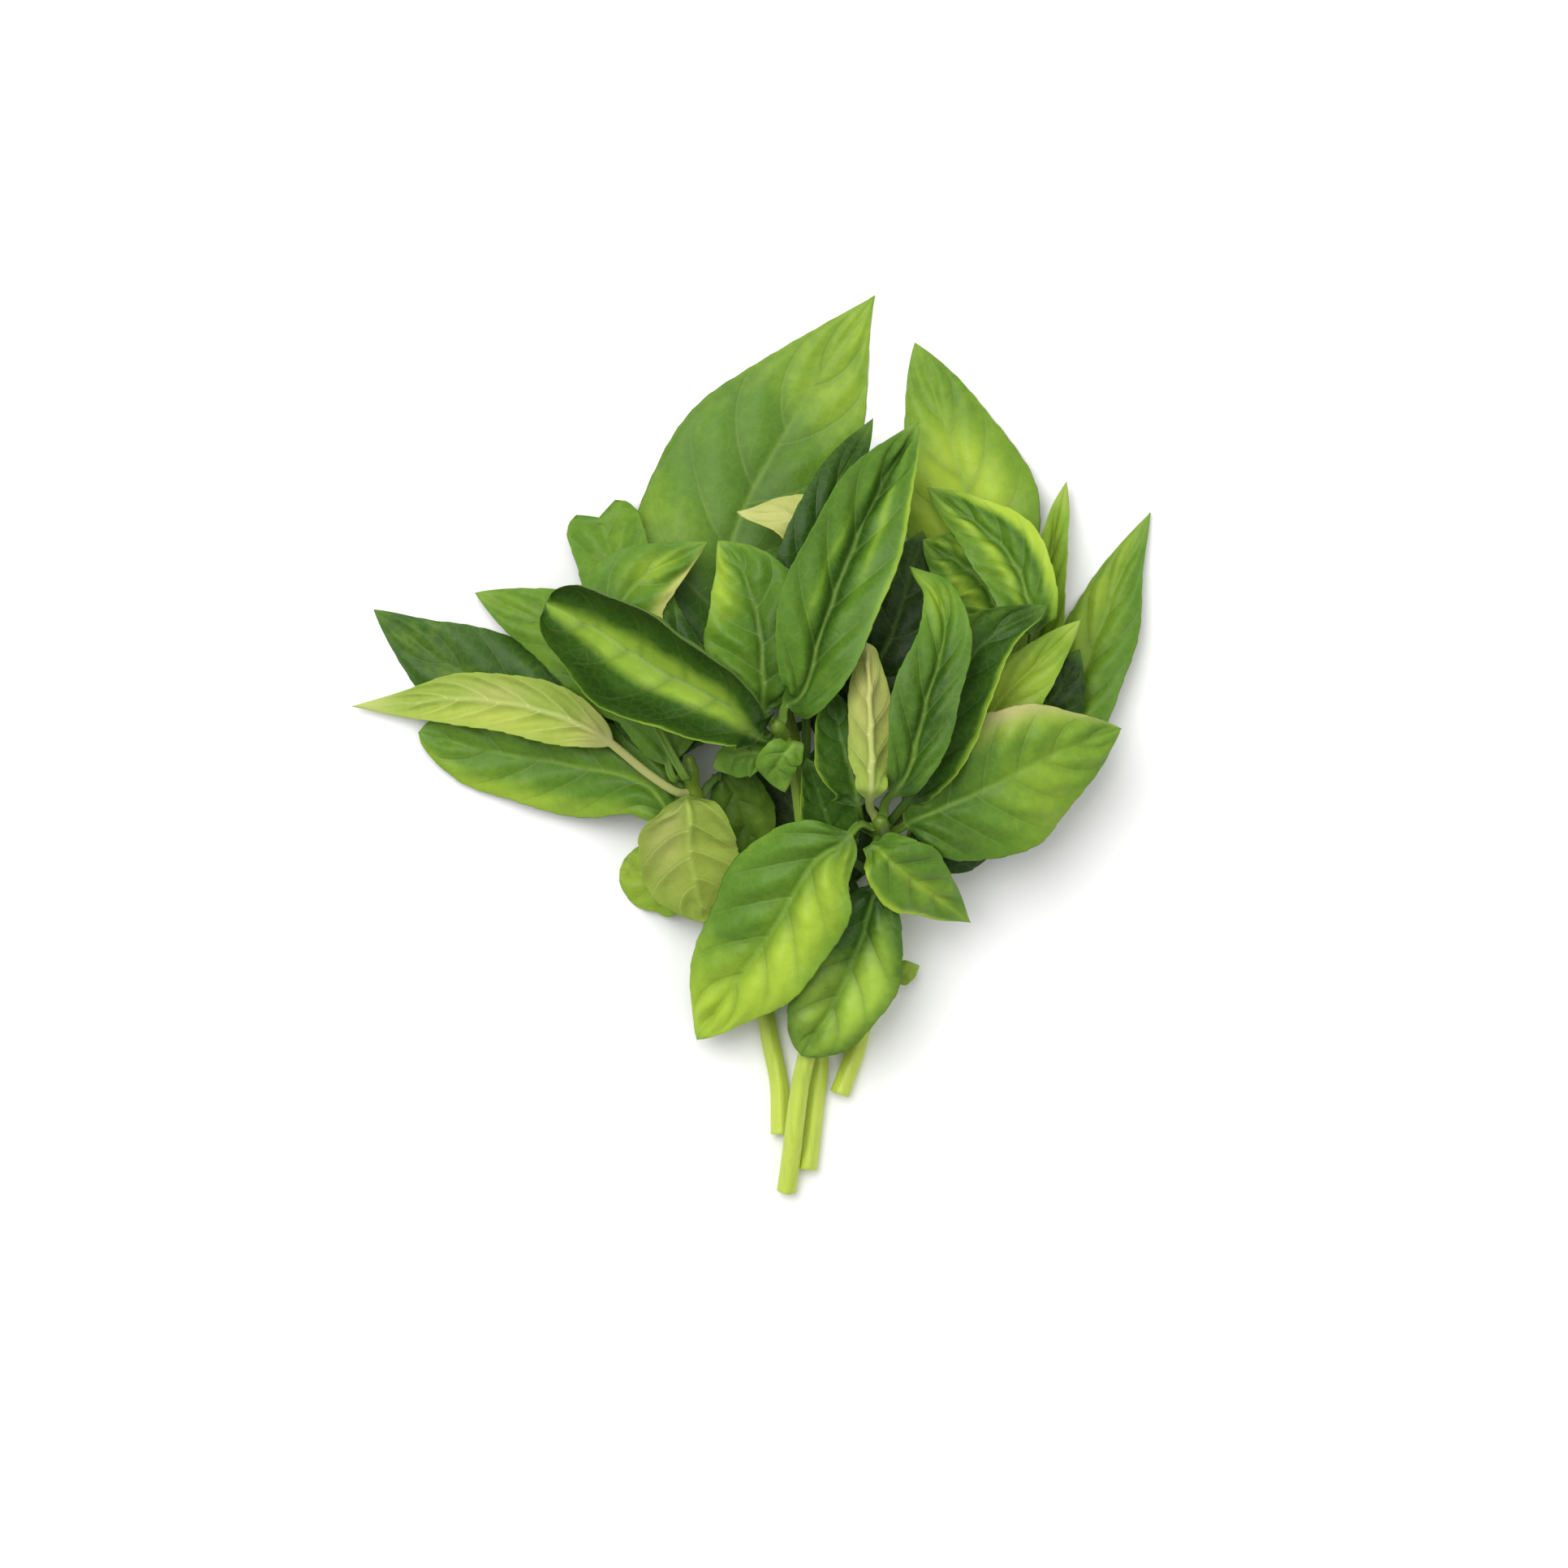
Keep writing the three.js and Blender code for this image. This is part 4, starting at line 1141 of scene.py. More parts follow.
class Tree:
    """A node tree that is being built, with named inputs and outputs."""

    def __init__(self, tree: bpy.types.NodeTree) -> None:
        """Keeps the tree."""
        self.tree = tree

    @cached_property
    def entry(self) -> bpy.types.Node:
        """The node that holds the tree's own inputs."""
        return self.tree.nodes.new("NodeGroupInput")

    def declare(self, kind: str, *titles: str, value: object = None, out: bool = False) -> None:
        """Adds named inputs or outputs.

        Args:
            kind: their type, as the end of the socket's name.
            titles: their names.
            value: their value until something else is fed.
            out: whether they are outputs.
        """
        for title in titles:
            made = self.tree.interface.new_socket(
                name=title, in_out="OUTPUT" if out else "INPUT", socket_type=f"NodeSocket{kind}"
            )
            if value is not None:
                made.default_value = value

    def wire(self, title: str) -> Wire:
        """Gives a named input as a number to reckon with."""
        return Wire(self.tree, self.entry.outputs[title])

    def node(self, kind: str, **fed: object) -> bpy.types.Node:
        """Adds a node.

        Args:
            kind: its type.
            fed: its settings, which have small names, and then what goes into its inputs, by
                their names with _ for a space.

        Returns:
            The node.
        """
        made = self.tree.nodes.new(kind)
        for title, value in fed.items():
            if title.islower():
                setattr(made, title, value)
            else:
                feed(self.tree, value, made.inputs[title.replace("_", " ")])
        return made

    def vein_wave(self, along: Wire, across: Wire, pairs: Wire) -> Wire:
        """Gives the rhythm of the side veins: 1 on a vein, -1 halfway between two.

        Args:
            along: share of the blade, from its base to its tip.
            across: place between the margins, from -1 to 1.
            pairs: how many pairs of side veins the blade has.

        Returns:
            The rhythm, from -1 to 1.
        """
        bow = across.size().power(VEIN_BOW) * VEIN_SWEEP
        phase = (along - bow) * pairs + across.step("SIGN") * VEIN_STEP
        return (phase * math.tau).cosine()


# ---- geometry trees ----
VEIN_SWEEP = 0.24  # how far a side vein runs on towards the tip, as a share of the blade
VEIN_BOW = 1.25  # and how much it curves on its way
VEIN_STEP = 0.13  # by how much of a pair the two sides are out of step, each way
VEIN_DEPTH = 0.4
VEIN_SHARPNESS = 7.0
SWELLING = 1.9
SWELL_FLOOR = 0.25  # what is taken off the swellings, so that the leaf isn't thickened
SWELL_GROUND = 0.8
SWELL_LUMPS = Noise(190.0, 2.0, 1.6, 3.0)
UNEVENNESS = 2.4
WIDE_LUMPS = Noise(62.0, 3.0, 1.0, 11.0)
FINE_LUMPS = Noise(330.0, 2.0, 0.35, 17.0)
RUFFLE = 2.4
RUFFLE_LUMPS = Noise(70.0, 1.0, 1.0, 23.0)
MIDRIB_WIDTH = 1.1
MIDRIB_SINK = 1.6  # of the midrib, for each part of the side veins
STEM_LUMPS = Noise(260.0, 3.0)
STEM_SIDES = 32
STEM_ANGLED = 0.06  # how much a stem's section is drawn in between its four edges
STEM_EDGES = 4.0
STEM_UNEVENNESS = 0.12


class GrowthTree(Tree):
    """A geometry tree that shapes a piece and puts its finish on."""

    def __init__(self, title: str, sizes: dict) -> None:
        """Makes the tree with its inputs and builds it.

        Args:
            title: the tree's name.
            sizes: the values of its numbers until others are fed, by their names.
        """
        super().__init__(bpy.data.node_groups.new(title, "GeometryNodeTree"))
        self.declare("Geometry", "Geometry")
        for name, value in sizes.items():
            self.declare("Int" if isinstance(value, int) else "Float", name, value=value)
        self.declare("Material", "Skin")
        self.declare("Geometry", "Geometry", out=True)
        self.build()

    def build(self) -> None:
        """Lays the nodes out."""
        raise NotImplementedError

    def attribute(self, title: str, kind: str = "FLOAT") -> Wire:
        """Reads one of the mesh's own attributes."""
        made = self.node("GeometryNodeInputNamedAttribute", data_type=kind, Name=title)
        return Wire(self.tree, made.outputs["Attribute"])

    def place(self) -> tuple[bpy.types.NodeSocket, dict]:
        """Reads where each point is.

        Returns:
            The place, and its three parts by the names of their axes.
        """
        where = self.node("GeometryNodeInputPosition").outputs[0]
        split = self.node("ShaderNodeSeparateXYZ", Vector=where)
        return where, {axis: Wire(self.tree, split.outputs[axis]) for axis in "XYZ"}

    def scaled(self, vector: object, factor: Wire) -> bpy.types.NodeSocket:
        """Lengthens a vector by a factor."""
        made = self.node("ShaderNodeVectorMath", operation="SCALE", Vector=vector, Scale=factor)
        return made.outputs[0]

    def moved(self, geometry: object, **how: object) -> bpy.types.NodeSocket:
        """Moves points to a Position or by an Offset."""
        return self.node("GeometryNodeSetPosition", Geometry=geometry, **how).outputs[0]

    def finish_with(self, geometry: bpy.types.NodeSocket) -> None:
        """Smooths the geometry, makes it real, puts the finish on and feeds the tree's output.

        Args:
            geometry: what was built.
        """
        for kind in ("GeometryNodeSetShadeSmooth", "GeometryNodeRealizeInstances"):
            geometry = self.node(kind, Geometry=geometry).outputs[0]
        skin = self.wire("Skin")
        dressed = self.node("GeometryNodeSetMaterial", Geometry=geometry, Material=skin)
        self.node("NodeGroupOutput", Geometry=dressed.outputs[0])


class ReliefTree(GrowthTree):
    """Gives a leaf its sunken veins, the swellings between them and its small unevenness."""

    def __init__(self) -> None:
        """Builds the tree."""
        super().__init__("leaf relief", {
            "Vein Pairs": LeafShape.pairs, "Vein Depth": VEIN_DEPTH, "Pucker": SWELLING,
            "Unevenness": UNEVENNESS, "Ruffle": RUFFLE, "Seed": 0.0,
        })

    def lumps(self, noise: Noise) -> Wire:
        """Gives soft noise around zero.

        Args:
            noise: its scale, detail and strength.

        Returns:
            The noise, from about minus to plus half its strength.
        """
        made = self.node(
            "ShaderNodeTexNoise", noise_dimensions="4D", W=self.wire("Seed") + noise.apart,
            Scale=noise.scale, Detail=noise.detail,
        )
        return (Wire(self.tree, made.outputs[0]) - 0.5) * noise.strength

    def rise(self, skin: Wire) -> Wire:
        """Works out the relief.

        Args:
            skin: 1 on the upper skin, -1 on the lower one.

        Returns:
            How far each point moves, in millimetres.
        """
        along, across = self.attribute("along"), self.attribute("across")
        wave = self.vein_wave(along, across, self.wire("Vein Pairs"))
        edge = across.size()
        crown = edge * (1.0 - edge) * 4.0
        swell = wave.ramp(-0.5, 0.5) * crown * (self.lumps(SWELL_LUMPS) + SWELL_GROUND)
        uneven = self.lumps(WIDE_LUMPS) + self.lumps(FINE_LUMPS)
        rise = (swell - SWELL_FLOOR) * self.wire("Pucker") + uneven * self.wire("Unevenness")
        midrib = (across * self.attribute("span")).bell(MIDRIB_WIDTH) * (1.0 - along)
        veins = wave.ramp(0.5, 0.5).power(VEIN_SHARPNESS) * (1.0 - edge * edge)
        depth = self.wire("Vein Depth")
        groove = (veins + midrib * MIDRIB_SINK + skin.ramp(-1.0, 0.0) * veins) * depth
        ruffle = self.lumps(RUFFLE_LUMPS) * self.wire("Ruffle") * self.attribute("ruffle")
        return (rise - groove) * self.attribute("relief") + ruffle

    def build(self) -> None:
        """Lays the nodes out: the relief, and then a lift of what would sink into the table."""
        skin = self.attribute("skin")
        push = self.scaled(self.attribute("push", "FLOAT_VECTOR"), self.rise(skin) * MM)
        moved = self.moved(self.wire("Geometry"), Offset=push)
        least = ((skin + 1.0) * SHEET_HALF + TABLE_GAP) * MM
        short = (least - self.place()[1]["Z"]).step("MAXIMUM", 0.0)
        lift = self.node("ShaderNodeCombineXYZ", Z=short)
        self.finish_with(self.moved(moved, Offset=lift.outputs[0]))


class SweepTree(GrowthTree):
    """Sweeps a slightly four-angled section along a stem's line."""

    def __init__(self) -> None:
        """Builds the tree."""
        super().__init__("stem sweep", {
            "Sides": STEM_SIDES, "Angled": STEM_ANGLED, "Unevenness": STEM_UNEVENNESS,
        })

    def build(self) -> None:
        """Lays the nodes out."""
        line = self.node("GeometryNodeMeshToCurve", Mesh=self.wire("Geometry"))
        sides = self.wire("Sides")
        circle = self.node("GeometryNodeCurvePrimitiveCircle", Resolution=sides, Radius=1.0)
        place, part = self.place()
        turn = part["Y"].step("ARCTAN2", part["X"])
        drawn_in = ((turn * STEM_EDGES).cosine() - 1.0) * self.wire("Angled") + 1.0
        section = self.moved(circle.outputs[0], Position=self.scaled(place, drawn_in))
        swept = self.node(
            "GeometryNodeCurveToMesh", Curve=line.outputs[0], Profile_Curve=section,
            Scale=self.attribute("girth"), Fill_Caps=True,
        )
        noise = self.node("ShaderNodeTexNoise", Scale=STEM_LUMPS.scale, Detail=STEM_LUMPS.detail)
        lump = (Wire(self.tree, noise.outputs[0]) - 0.5) * self.wire("Unevenness") * MM
        offset = self.scaled(self.node("GeometryNodeInputNormal").outputs[0], lump)
        self.finish_with(self.moved(swept.outputs[0], Offset=offset))


def grow_with(piece: bpy.types.Object, tree: Tree, settings: dict) -> None:
    """Runs a geometry tree on a piece and keeps the result as its plain mesh.

    Args:
        piece: the object.
        tree: the geometry tree.
        settings: values for the tree's inputs, by their names.
    """
    modifier = piece.modifiers.new("grow", "NODES")
    modifier.node_group = tree.tree
    for item in tree.tree.interface.items_tree:
        if item.item_type == "SOCKET" and item.in_out == "INPUT" and item.name in settings:
            modifier[item.identifier] = settings[item.name]
    graph = bpy.context.evaluated_depsgraph_get()
    plain = bpy.data.meshes.new_from_object(
        piece.evaluated_get(graph), preserve_all_data_layers=True, depsgraph=graph
    )
    piece.modifiers.clear()
    old, piece.data = piece.data, plain
    bpy.data.meshes.remove(old)
    plain.name = piece.name


# ---- finishes ----
MIX_FACTOR, MIX_A, MIX_B, MIX_RESULT = 0, 6, 7, 2  # the colour sockets of a Mix node
Screen = tuple[int, int, int]  # a colour as it shows, from 0 to 255
GRAIN_DEPTH = 0.0004  # metres
SUBSURFACE_RADIUS = (0.6, 1.0, 0.2)
SUBSURFACE_SCALE = 0.0012


def shade(colour: Screen) -> tuple:
    """Turns a colour as it shows into the light that it throws back.

    Args:
        colour: red, green and blue.

    Returns:
        The linear colour, with a full alpha.
    """
    parts = [value / 255 for value in colour]
    curve = [p / 12.92 if p <= 0.04045 else ((p + 0.055) / 1.055) ** 2.4 for p in parts]
    return (*curve, 1.0)


class ShaderTree(Tree):
    """A shader tree with the few nodes that its finishes share."""

    def number(self, title: str) -> Wire:
        """Reads one of the mesh's own attributes."""
        made = self.node("ShaderNodeAttribute", attribute_name=title)
        return Wire(self.tree, made.outputs["Fac"])

    def place(self) -> bpy.types.NodeSocket:
        """Gives the place on the object."""
        return self.tree.nodes.new("ShaderNodeTexCoord").outputs["Object"]

    def noise(self, noise: Noise, where: Optional[bpy.types.NodeSocket] = None) -> Wire:
        """Gives noise from 0 to its strength.

        Args:
            noise: its scale, detail and strength.
            where: the place that it is drawn by, if not the plain one.

        Returns:
            The noise.
        """
        made = self.node(
            "ShaderNodeTexNoise", Scale=noise.scale, Detail=noise.detail,
            Vector=where or self.place(),
        )
        return Wire(self.tree, made.outputs[0]) * noise.strength

    def lumps(self, noise: Noise) -> Wire:
        """Gives noise around zero, from minus to plus half its strength."""
        return self.noise(noise) - noise.strength / 2

    def cell_edge(self, scale: float, width: float) -> Wire:
        """Gives 1 on the edges of a net of cells and 0 inside them.

        Args:
            scale: cells to the metre.
            width: how wide an edge is, as a share of a cell.

        Returns:
            The mask of the edges.
        """
        made = self.node(
            "ShaderNodeTexVoronoi", feature="DISTANCE_TO_EDGE", Scale=scale, Vector=self.place()
        )
        return (1.0 - Wire(self.tree, made.outputs["Distance"]) * (1 / width)).held()

    def coats(self, ground: object, *coats: tuple[Number, object]) -> bpy.types.NodeSocket:
        """Lays colours over a ground, one after the other.

        Args:
            ground: the first colour, or a wire or socket that gives one.
            coats: how much of each further colour there is, from 0 to 1, and the colour.

        Returns:
            The socket of the last mixed colour.
        """
        for amount, colour in coats:
            made = self.node("ShaderNodeMix", data_type="RGBA")
            for at, value in ((MIX_FACTOR, amount), (MIX_A, ground), (MIX_B, colour)):
                feed(self.tree, value, made.inputs[at])
            ground = made.outputs[MIX_RESULT]
        return ground


class FinishGroup(ShaderTree):
    """A shared group that puts out the colour, roughness and fine relief of a finish."""

    def __init__(self, title: str, colours: tuple) -> None:
        """Makes the group with its inputs and builds it.

        Args:
            title: the group's name.
            colours: the names of its colours.
        """
        super().__init__(bpy.data.node_groups.new(title, "ShaderNodeTree"))
        self.declare("Color", *colours)
        self.declare("Color", "Colour", out=True)
        self.declare("Float", "Roughness", "Height", out=True)
        self.build()

    def build(self) -> None:
        """Lays the nodes out."""
        raise NotImplementedError


class BladeGroup(FinishGroup):
    """The finish of a basil leaf's two skins."""

    VEIN, SHOULDER = 70.0, 6.0  # how narrow a vein is, and the shade beside it
    MIDRIB, MIDRIB_SHOULDER = 0.55, 2.2  # the same for the midrib, as widths in millimetres
    MIDRIB_FADE = (-1.0, 1.05)  # towards the tip
    # painted shade at the foot of each blade and along its petiole, where they lie deep in the
    # bunch
    BASE = (-9.0, 1.0)  # the dark base fades out over a ninth of the blade
    NET_SCALE, NET_WIDTH = 430.0, 0.16
    PATCHES, PATCHES_SHOW = Noise(75.0, 3.0, 1.1), 0.7
    MOTTLE, MOTTLE_SHOW = Noise(420.0, 3.0, 0.5), 0.8
    DEEP_SHOW = 0.85
    SHOULDER_SHADE, MIDRIB_SHADE = 0.2, 0.25
    VEIN_PALE, UNDER_VEIN_PALE, MIDRIB_PALE = 0.22, 0.45, 0.7
    NET_FRESH, UNDER_NET_PALE = 0.05, 0.08
    UNDER_FRESH = (0.8, 0.1)
    STALK_PALE, STALK_BASE = 0.55, 0.35
    BASE_SHADE = 0.55
    ROUGHNESS, NET_ROUGHNESS, UNDER_ROUGHNESS = 0.34, 0.06, 0.16
    ROUGH_GRAIN = Noise(900.0, 2.0, 0.16)
    FINE_GRAIN = Noise(1500.0, 2.0, 0.25)
    NET_HEIGHT, VEIN_HEIGHT, MIDRIB_HEIGHT = 0.2, -0.7, -0.5

    def __init__(self) -> None:
        """Builds the group."""
        super().__init__("basil blade", (
            "Deep", "Body", "Fresh", "Vein", "Under", "Under Fresh", "Blush",
        ))

    def build(self) -> None:
        """Lays the nodes out."""
        deep, pale, fresh_colour = self.wire("Deep"), self.wire("Vein"), self.wire("Fresh")
        along, across = self.number("along"), self.number("across")
        relief, stalk = self.number("relief"), self.number("stalk")
        wave = self.vein_wave(along, across, self.number("pairs")).ramp(0.5, 0.5)
        vein, shoulder = wave.power(self.VEIN) * relief, wave.power(self.SHOULDER) * relief
        inner = across * self.number("span")
        midrib = inner.bell(self.MIDRIB) * along.ramp(*self.MIDRIB_FADE)
        midrib_shoulder = inner.bell(self.MIDRIB_SHOULDER) * (1.0 - along)
        below = self.number("skin").ramp(-1.0, 0.0)
        net = self.cell_edge(self.NET_SCALE, self.NET_WIDTH)
        patches, mottle = self.lumps(self.PATCHES), self.lumps(self.MOTTLE)
        # painted highlights and painted shade come in with fresh, beside the leaf's own patches
        fresh = self.number("fresh") + patches * self.PATCHES_SHOW + mottle * self.MOTTLE_SHOW
        shaded = shoulder * self.SHOULDER_SHADE + midrib_shoulder * self.MIDRIB_SHADE
        upper = self.coats(
            self.wire("Body"),
            (fresh.held(), fresh_colour),
            ((-fresh).held() * self.DEEP_SHOW, deep),
            (shaded.held(), deep),
            ((vein * self.VEIN_PALE + midrib * self.MIDRIB_PALE).held(), pale),
            (net * self.NET_FRESH, fresh_colour),
        )
        lower = self.coats(
            self.wire("Under"),
            (fresh.ramp(*self.UNDER_FRESH), self.wire("Under Fresh")),
            ((vein * self.UNDER_VEIN_PALE + midrib * self.MIDRIB_PALE).held(), pale),
            (net * self.UNDER_NET_PALE, pale),
        )
        # painted shade at the foot of the blade and, a little less, along the petiole
        base = along.ramp(*self.BASE) * (1.0 - stalk * self.STALK_BASE)
        colour = self.coats(
            upper,
            (below, lower),
            (stalk * self.STALK_PALE, pale),
            ((self.number("blush") * (mottle + 1.0)).held(), self.wire("Blush")),
            (base * self.BASE_SHADE, deep),
        )
        rough = self.noise(self.ROUGH_GRAIN) + net * self.NET_ROUGHNESS
        rough = rough + below * self.UNDER_ROUGHNESS + self.ROUGHNESS
        height = self.noise(self.FINE_GRAIN) + net * self.NET_HEIGHT
        height = height + vein * self.VEIN_HEIGHT + midrib * self.MIDRIB_HEIGHT
        self.node("NodeGroupOutput", Colour=colour, Roughness=rough, Height=height)


class StemGroup(FinishGroup):
    """The finish of a stem and its cut end."""

    SHOOT = (1.5, -0.15)  # how the colour changes from the cut end up
    TIP, TIP_SHOW = (4.0, -3.0), 0.6
    STREAKS, STREAK_STRETCH = Noise(900.0, 3.0), (1.0, 0.06, 1.0)
    STREAKS_SHOW = (2.2, -1.1)
    PATCHES, PATCHES_SHOW = Noise(110.0, 2.0, 1.6), 0.5
    ROUGHNESS, STREAK_ROUGHNESS, PITH_ROUGHNESS = 0.3, 0.2, 0.25
    STREAK_HEIGHT, FINE_GRAIN = 0.7, Noise(1400.0, 2.0, 0.3)

    def __init__(self) -> None:
        """Builds the group."""
        super().__init__("basil stem", ("Foot", "Shoot", "Tip", "Streak", "Pith"))

    def build(self) -> None:
        """Lays the nodes out."""
        stretch = self.node("ShaderNodeMapping", Vector=self.place(), Scale=self.STREAK_STRETCH)
        streaks = self.noise(self.STREAKS, stretch.outputs[0])
        along, pith, shoot = self.number("along"), self.number("pith"), self.wire("Shoot")
        colour = self.coats(
            self.wire("Foot"),
            (along.ramp(*self.SHOOT), shoot),
            (streaks.ramp(*self.STREAKS_SHOW), self.wire("Streak")),
            (self.lumps(self.PATCHES).held() * self.PATCHES_SHOW, shoot),
            (along.ramp(*self.TIP) * self.TIP_SHOW, self.wire("Tip")),
            (pith, self.wire("Pith")),
        )
        rough = streaks * self.STREAK_ROUGHNESS + pith * self.PITH_ROUGHNESS + self.ROUGHNESS
        height = streaks * self.STREAK_HEIGHT + self.noise(self.FINE_GRAIN)
        self.node("NodeGroupOutput", Colour=colour, Roughness=rough, Height=height)


@dataclass(frozen=True, kw_only=True)
class Finish:
    """What the finishes of leaves and stems share: their gloss, grain and depth."""

    title: str
    gloss: float
    bump: float
    see_through: float

    def material(self, group: FinishGroup) -> bpy.types.Material:
        """Makes the material.

        Each colour of the finish is fed to the group's input of the same name.

        Args:
            group: the shared group that draws it.

        Returns:
            The material, with the shader's constant values on its own sockets.
        """
        made = bpy.data.materials.new(self.title)
        made.use_nodes = True
        tree = Tree(made.node_tree)
        source = tree.node("ShaderNodeGroup", node_tree=group.tree)
        for name, value in vars(self).items():
            if isinstance(value, tuple):
                source.inputs[name.replace("_", " ").title()].default_value = shade(value)
        relief = tree.node(
            "ShaderNodeBump", Strength=self.bump, Distance=GRAIN_DEPTH,
            Height=source.outputs["Height"],
        )
        for title, value in {
            "Base Color": source.outputs["Colour"],
            "Roughness": source.outputs["Roughness"],
            "Normal": relief.outputs["Normal"],
            "Specular IOR Level": self.gloss,
            "Subsurface Weight": self.see_through,
            "Subsurface Radius": SUBSURFACE_RADIUS,
            "Subsurface Scale": SUBSURFACE_SCALE,
        }.items():
            feed(made.node_tree, value, made.node_tree.nodes["Principled BSDF"].inputs[title])
        return made


@dataclass(frozen=True, kw_only=True)
class LeafFinish(Finish):
    """The colours of one kind of leaf."""

    deep: Screen
    body: Screen
    fresh: Screen
    vein: Screen
    under: Screen
    under_fresh: Screen
    blush: Screen = (196, 188, 126)  # the tan of a fading margin or petiole
    gloss: float = 0.2
    bump: float = 0.35
    see_through: float = 0.1


@dataclass(frozen=True, kw_only=True)
class StemFinish(Finish):
    """The colours of a stem."""

    foot: Screen
    shoot: Screen
    tip: Screen
    streak: Screen
    pith: Screen
    gloss: float = 0.5
    bump: float = 0.5
    see_through: float = 0.2


LEAF_FINISHES = {
    # given to the leaves that lie in shadow inside the bunch
    # the dark finish is partly the own colour of darker leaves and partly painted shade,
    Tint.DARK: LeafFinish(
        title="dark basil leaf", deep=(20, 42, 10), body=(56, 92, 26), fresh=(150, 182, 62),
        vein=(96, 132, 48), under=(88, 116, 50), under_fresh=(146, 170, 74),
    ),
    Tint.MID: LeafFinish(
        title="basil leaf", deep=(36, 70, 18), body=(88, 127, 36), fresh=(160, 188, 56),
        vein=(126, 160, 62), under=(112, 140, 60), under_fresh=(168, 188, 80),
    ),
    Tint.LIGHT: LeafFinish(
        title="light basil leaf", deep=(56, 92, 24), body=(116, 150, 44), fresh=(176, 198, 62),
        vein=(164, 186, 84), under=(124, 144, 54), under_fresh=(158, 174, 70),
    ),
    Tint.PALE: LeafFinish(
        title="pale basil underside", deep=(78, 106, 36), body=(128, 154, 56),
        fresh=(176, 194, 72), vein=(192, 202, 122), under=(142, 164, 66),
        under_fresh=(190, 200, 88), gloss=0.15,
    ),
}
STEM_FINISH = StemFinish(
    title="basil stem", foot=(188, 205, 76), shoot=(132, 162, 42), tip=(58, 88, 20),
    streak=(146, 174, 44), pith=(222, 226, 166),
)


# ---- the bunch ----
@dataclass
class Piece:
    """One stem or leaf as it is seen."""

    shape: Union[StemShape, LeafShape]
    node: str = field(init=False)
    slot: str = field(init=False)

    def skin(self) -> Skin:
        """Works out the mesh that its geometry tree starts from."""
        raise NotImplementedError

    def settings(self) -> dict:
        """Lists the values for its geometry tree, by the names of the inputs."""
        return {}

    def build(self, tree: GrowthTree, material: bpy.types.Material) -> bpy.types.Object:
        """Makes the piece, and ties it to its place in the model.

        Args:
            tree: the geometry tree that shapes it.
            material: its finish.

        Returns:
            The finished object.
        """
        piece = self.skin().as_object()
        grow_with(piece, tree, {**self.settings(), "Skin": material})
        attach(piece, ROOT_BODY)
        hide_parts(self.node)
        return piece


@dataclass
class LeafPiece(Piece):
    """One leaf with its petiole."""

    seed: int

    def __post_init__(self) -> None:
        """Names the leaf's node and slot."""
        self.node, self.slot = self.shape.name, self.shape.tint.value

    def skin(self) -> Skin:
        """Works out the leaf's closed body."""
        chance = np.random.default_rng(LOOKS_SEED + self.seed)
        return LeafSkin(self.shape, laid_grid(self.shape, chance)).closed()

    def settings(self) -> dict:
        """Lists the sizes of the leaf's relief, by the names of the tree's inputs.

        Returns:
            The values, as plain floats.
        """
        leaf = self.shape
        sizes = {
            "Vein Pairs": leaf.pairs, "Vein Depth": leaf.relief * VEIN_DEPTH,
            "Pucker": leaf.pucker * SWELLING, "Unevenness": leaf.pucker * UNEVENNESS,
            "Ruffle": RUFFLE, "Seed": self.seed,
        }
        return {title: float(value) for title, value in sizes.items()}


@dataclass
class StemPiece(Piece):
    """One stem with its cut end and its shoot tip."""

    joints: list
    spring: Optional[tuple] = None

    def __post_init__(self) -> None:
        """Names the stem's node and slot."""
        self.node, self.slot = f"{self.shape.name}_stem", "stem"

    def skin(self) -> Skin:
        """Works out the stem's line, girths and cut end.

        Returns:
            A line of points with the girth at each.
        """
        stem, length = self.shape, self.shape.course.length
        steps = np.linspace(0.0, 1.0, math.ceil(length / STEM_STEP) + 1)
        swell = np.ones(len(steps))
        for at in self.joints:
            swell += NODE_SWELL * np.exp(-(((steps - at) * length / NODE_REACH) ** 2))
        ring = stem.rings(steps)
        girth = ring.radius * np.minimum(swell, 1 + MOST_SWELL * NODE_SWELL)
        keep = steps * length > CUT_PROFILE[-1][0] + STEM_STEP / 2
        keep &= steps * length < length - DOME_SINK * stem.top
        rows = [(self.spring, ring.radius[0], 0.0, 0.0)]
        if self.spring is None:
            rows = [
                (ring.centre[0] + ring.along[0] * gap, ring.radius[0] * share, core, 0.0)
                for gap, share, core in CUT_PROFILE
            ]
        rows += [(ring.centre[i], girth[i], 0.0, steps[i]) for i in np.flatnonzero(keep)]
        for angle in np.linspace(0.0, math.pi / 2, DOME_STEPS):
            gap = stem.top * (DOME_RISE * math.sin(angle) - DOME_SINK)
            width = max(girth[-1] * math.cos(angle) ** DOME_ROUNDNESS, LEAST_GIRTH)
            rows.append((ring.centre[-1] + ring.along[-1] * gap, width, 0.0, 1.0))
        spots, girths, pith, along = zip(*rows)
        numbers = {"girth": np.array(girths) * MM, "pith": pith, "along": along}
        return Skin(f"{self.node}_skin", np.array(spots), numbers)


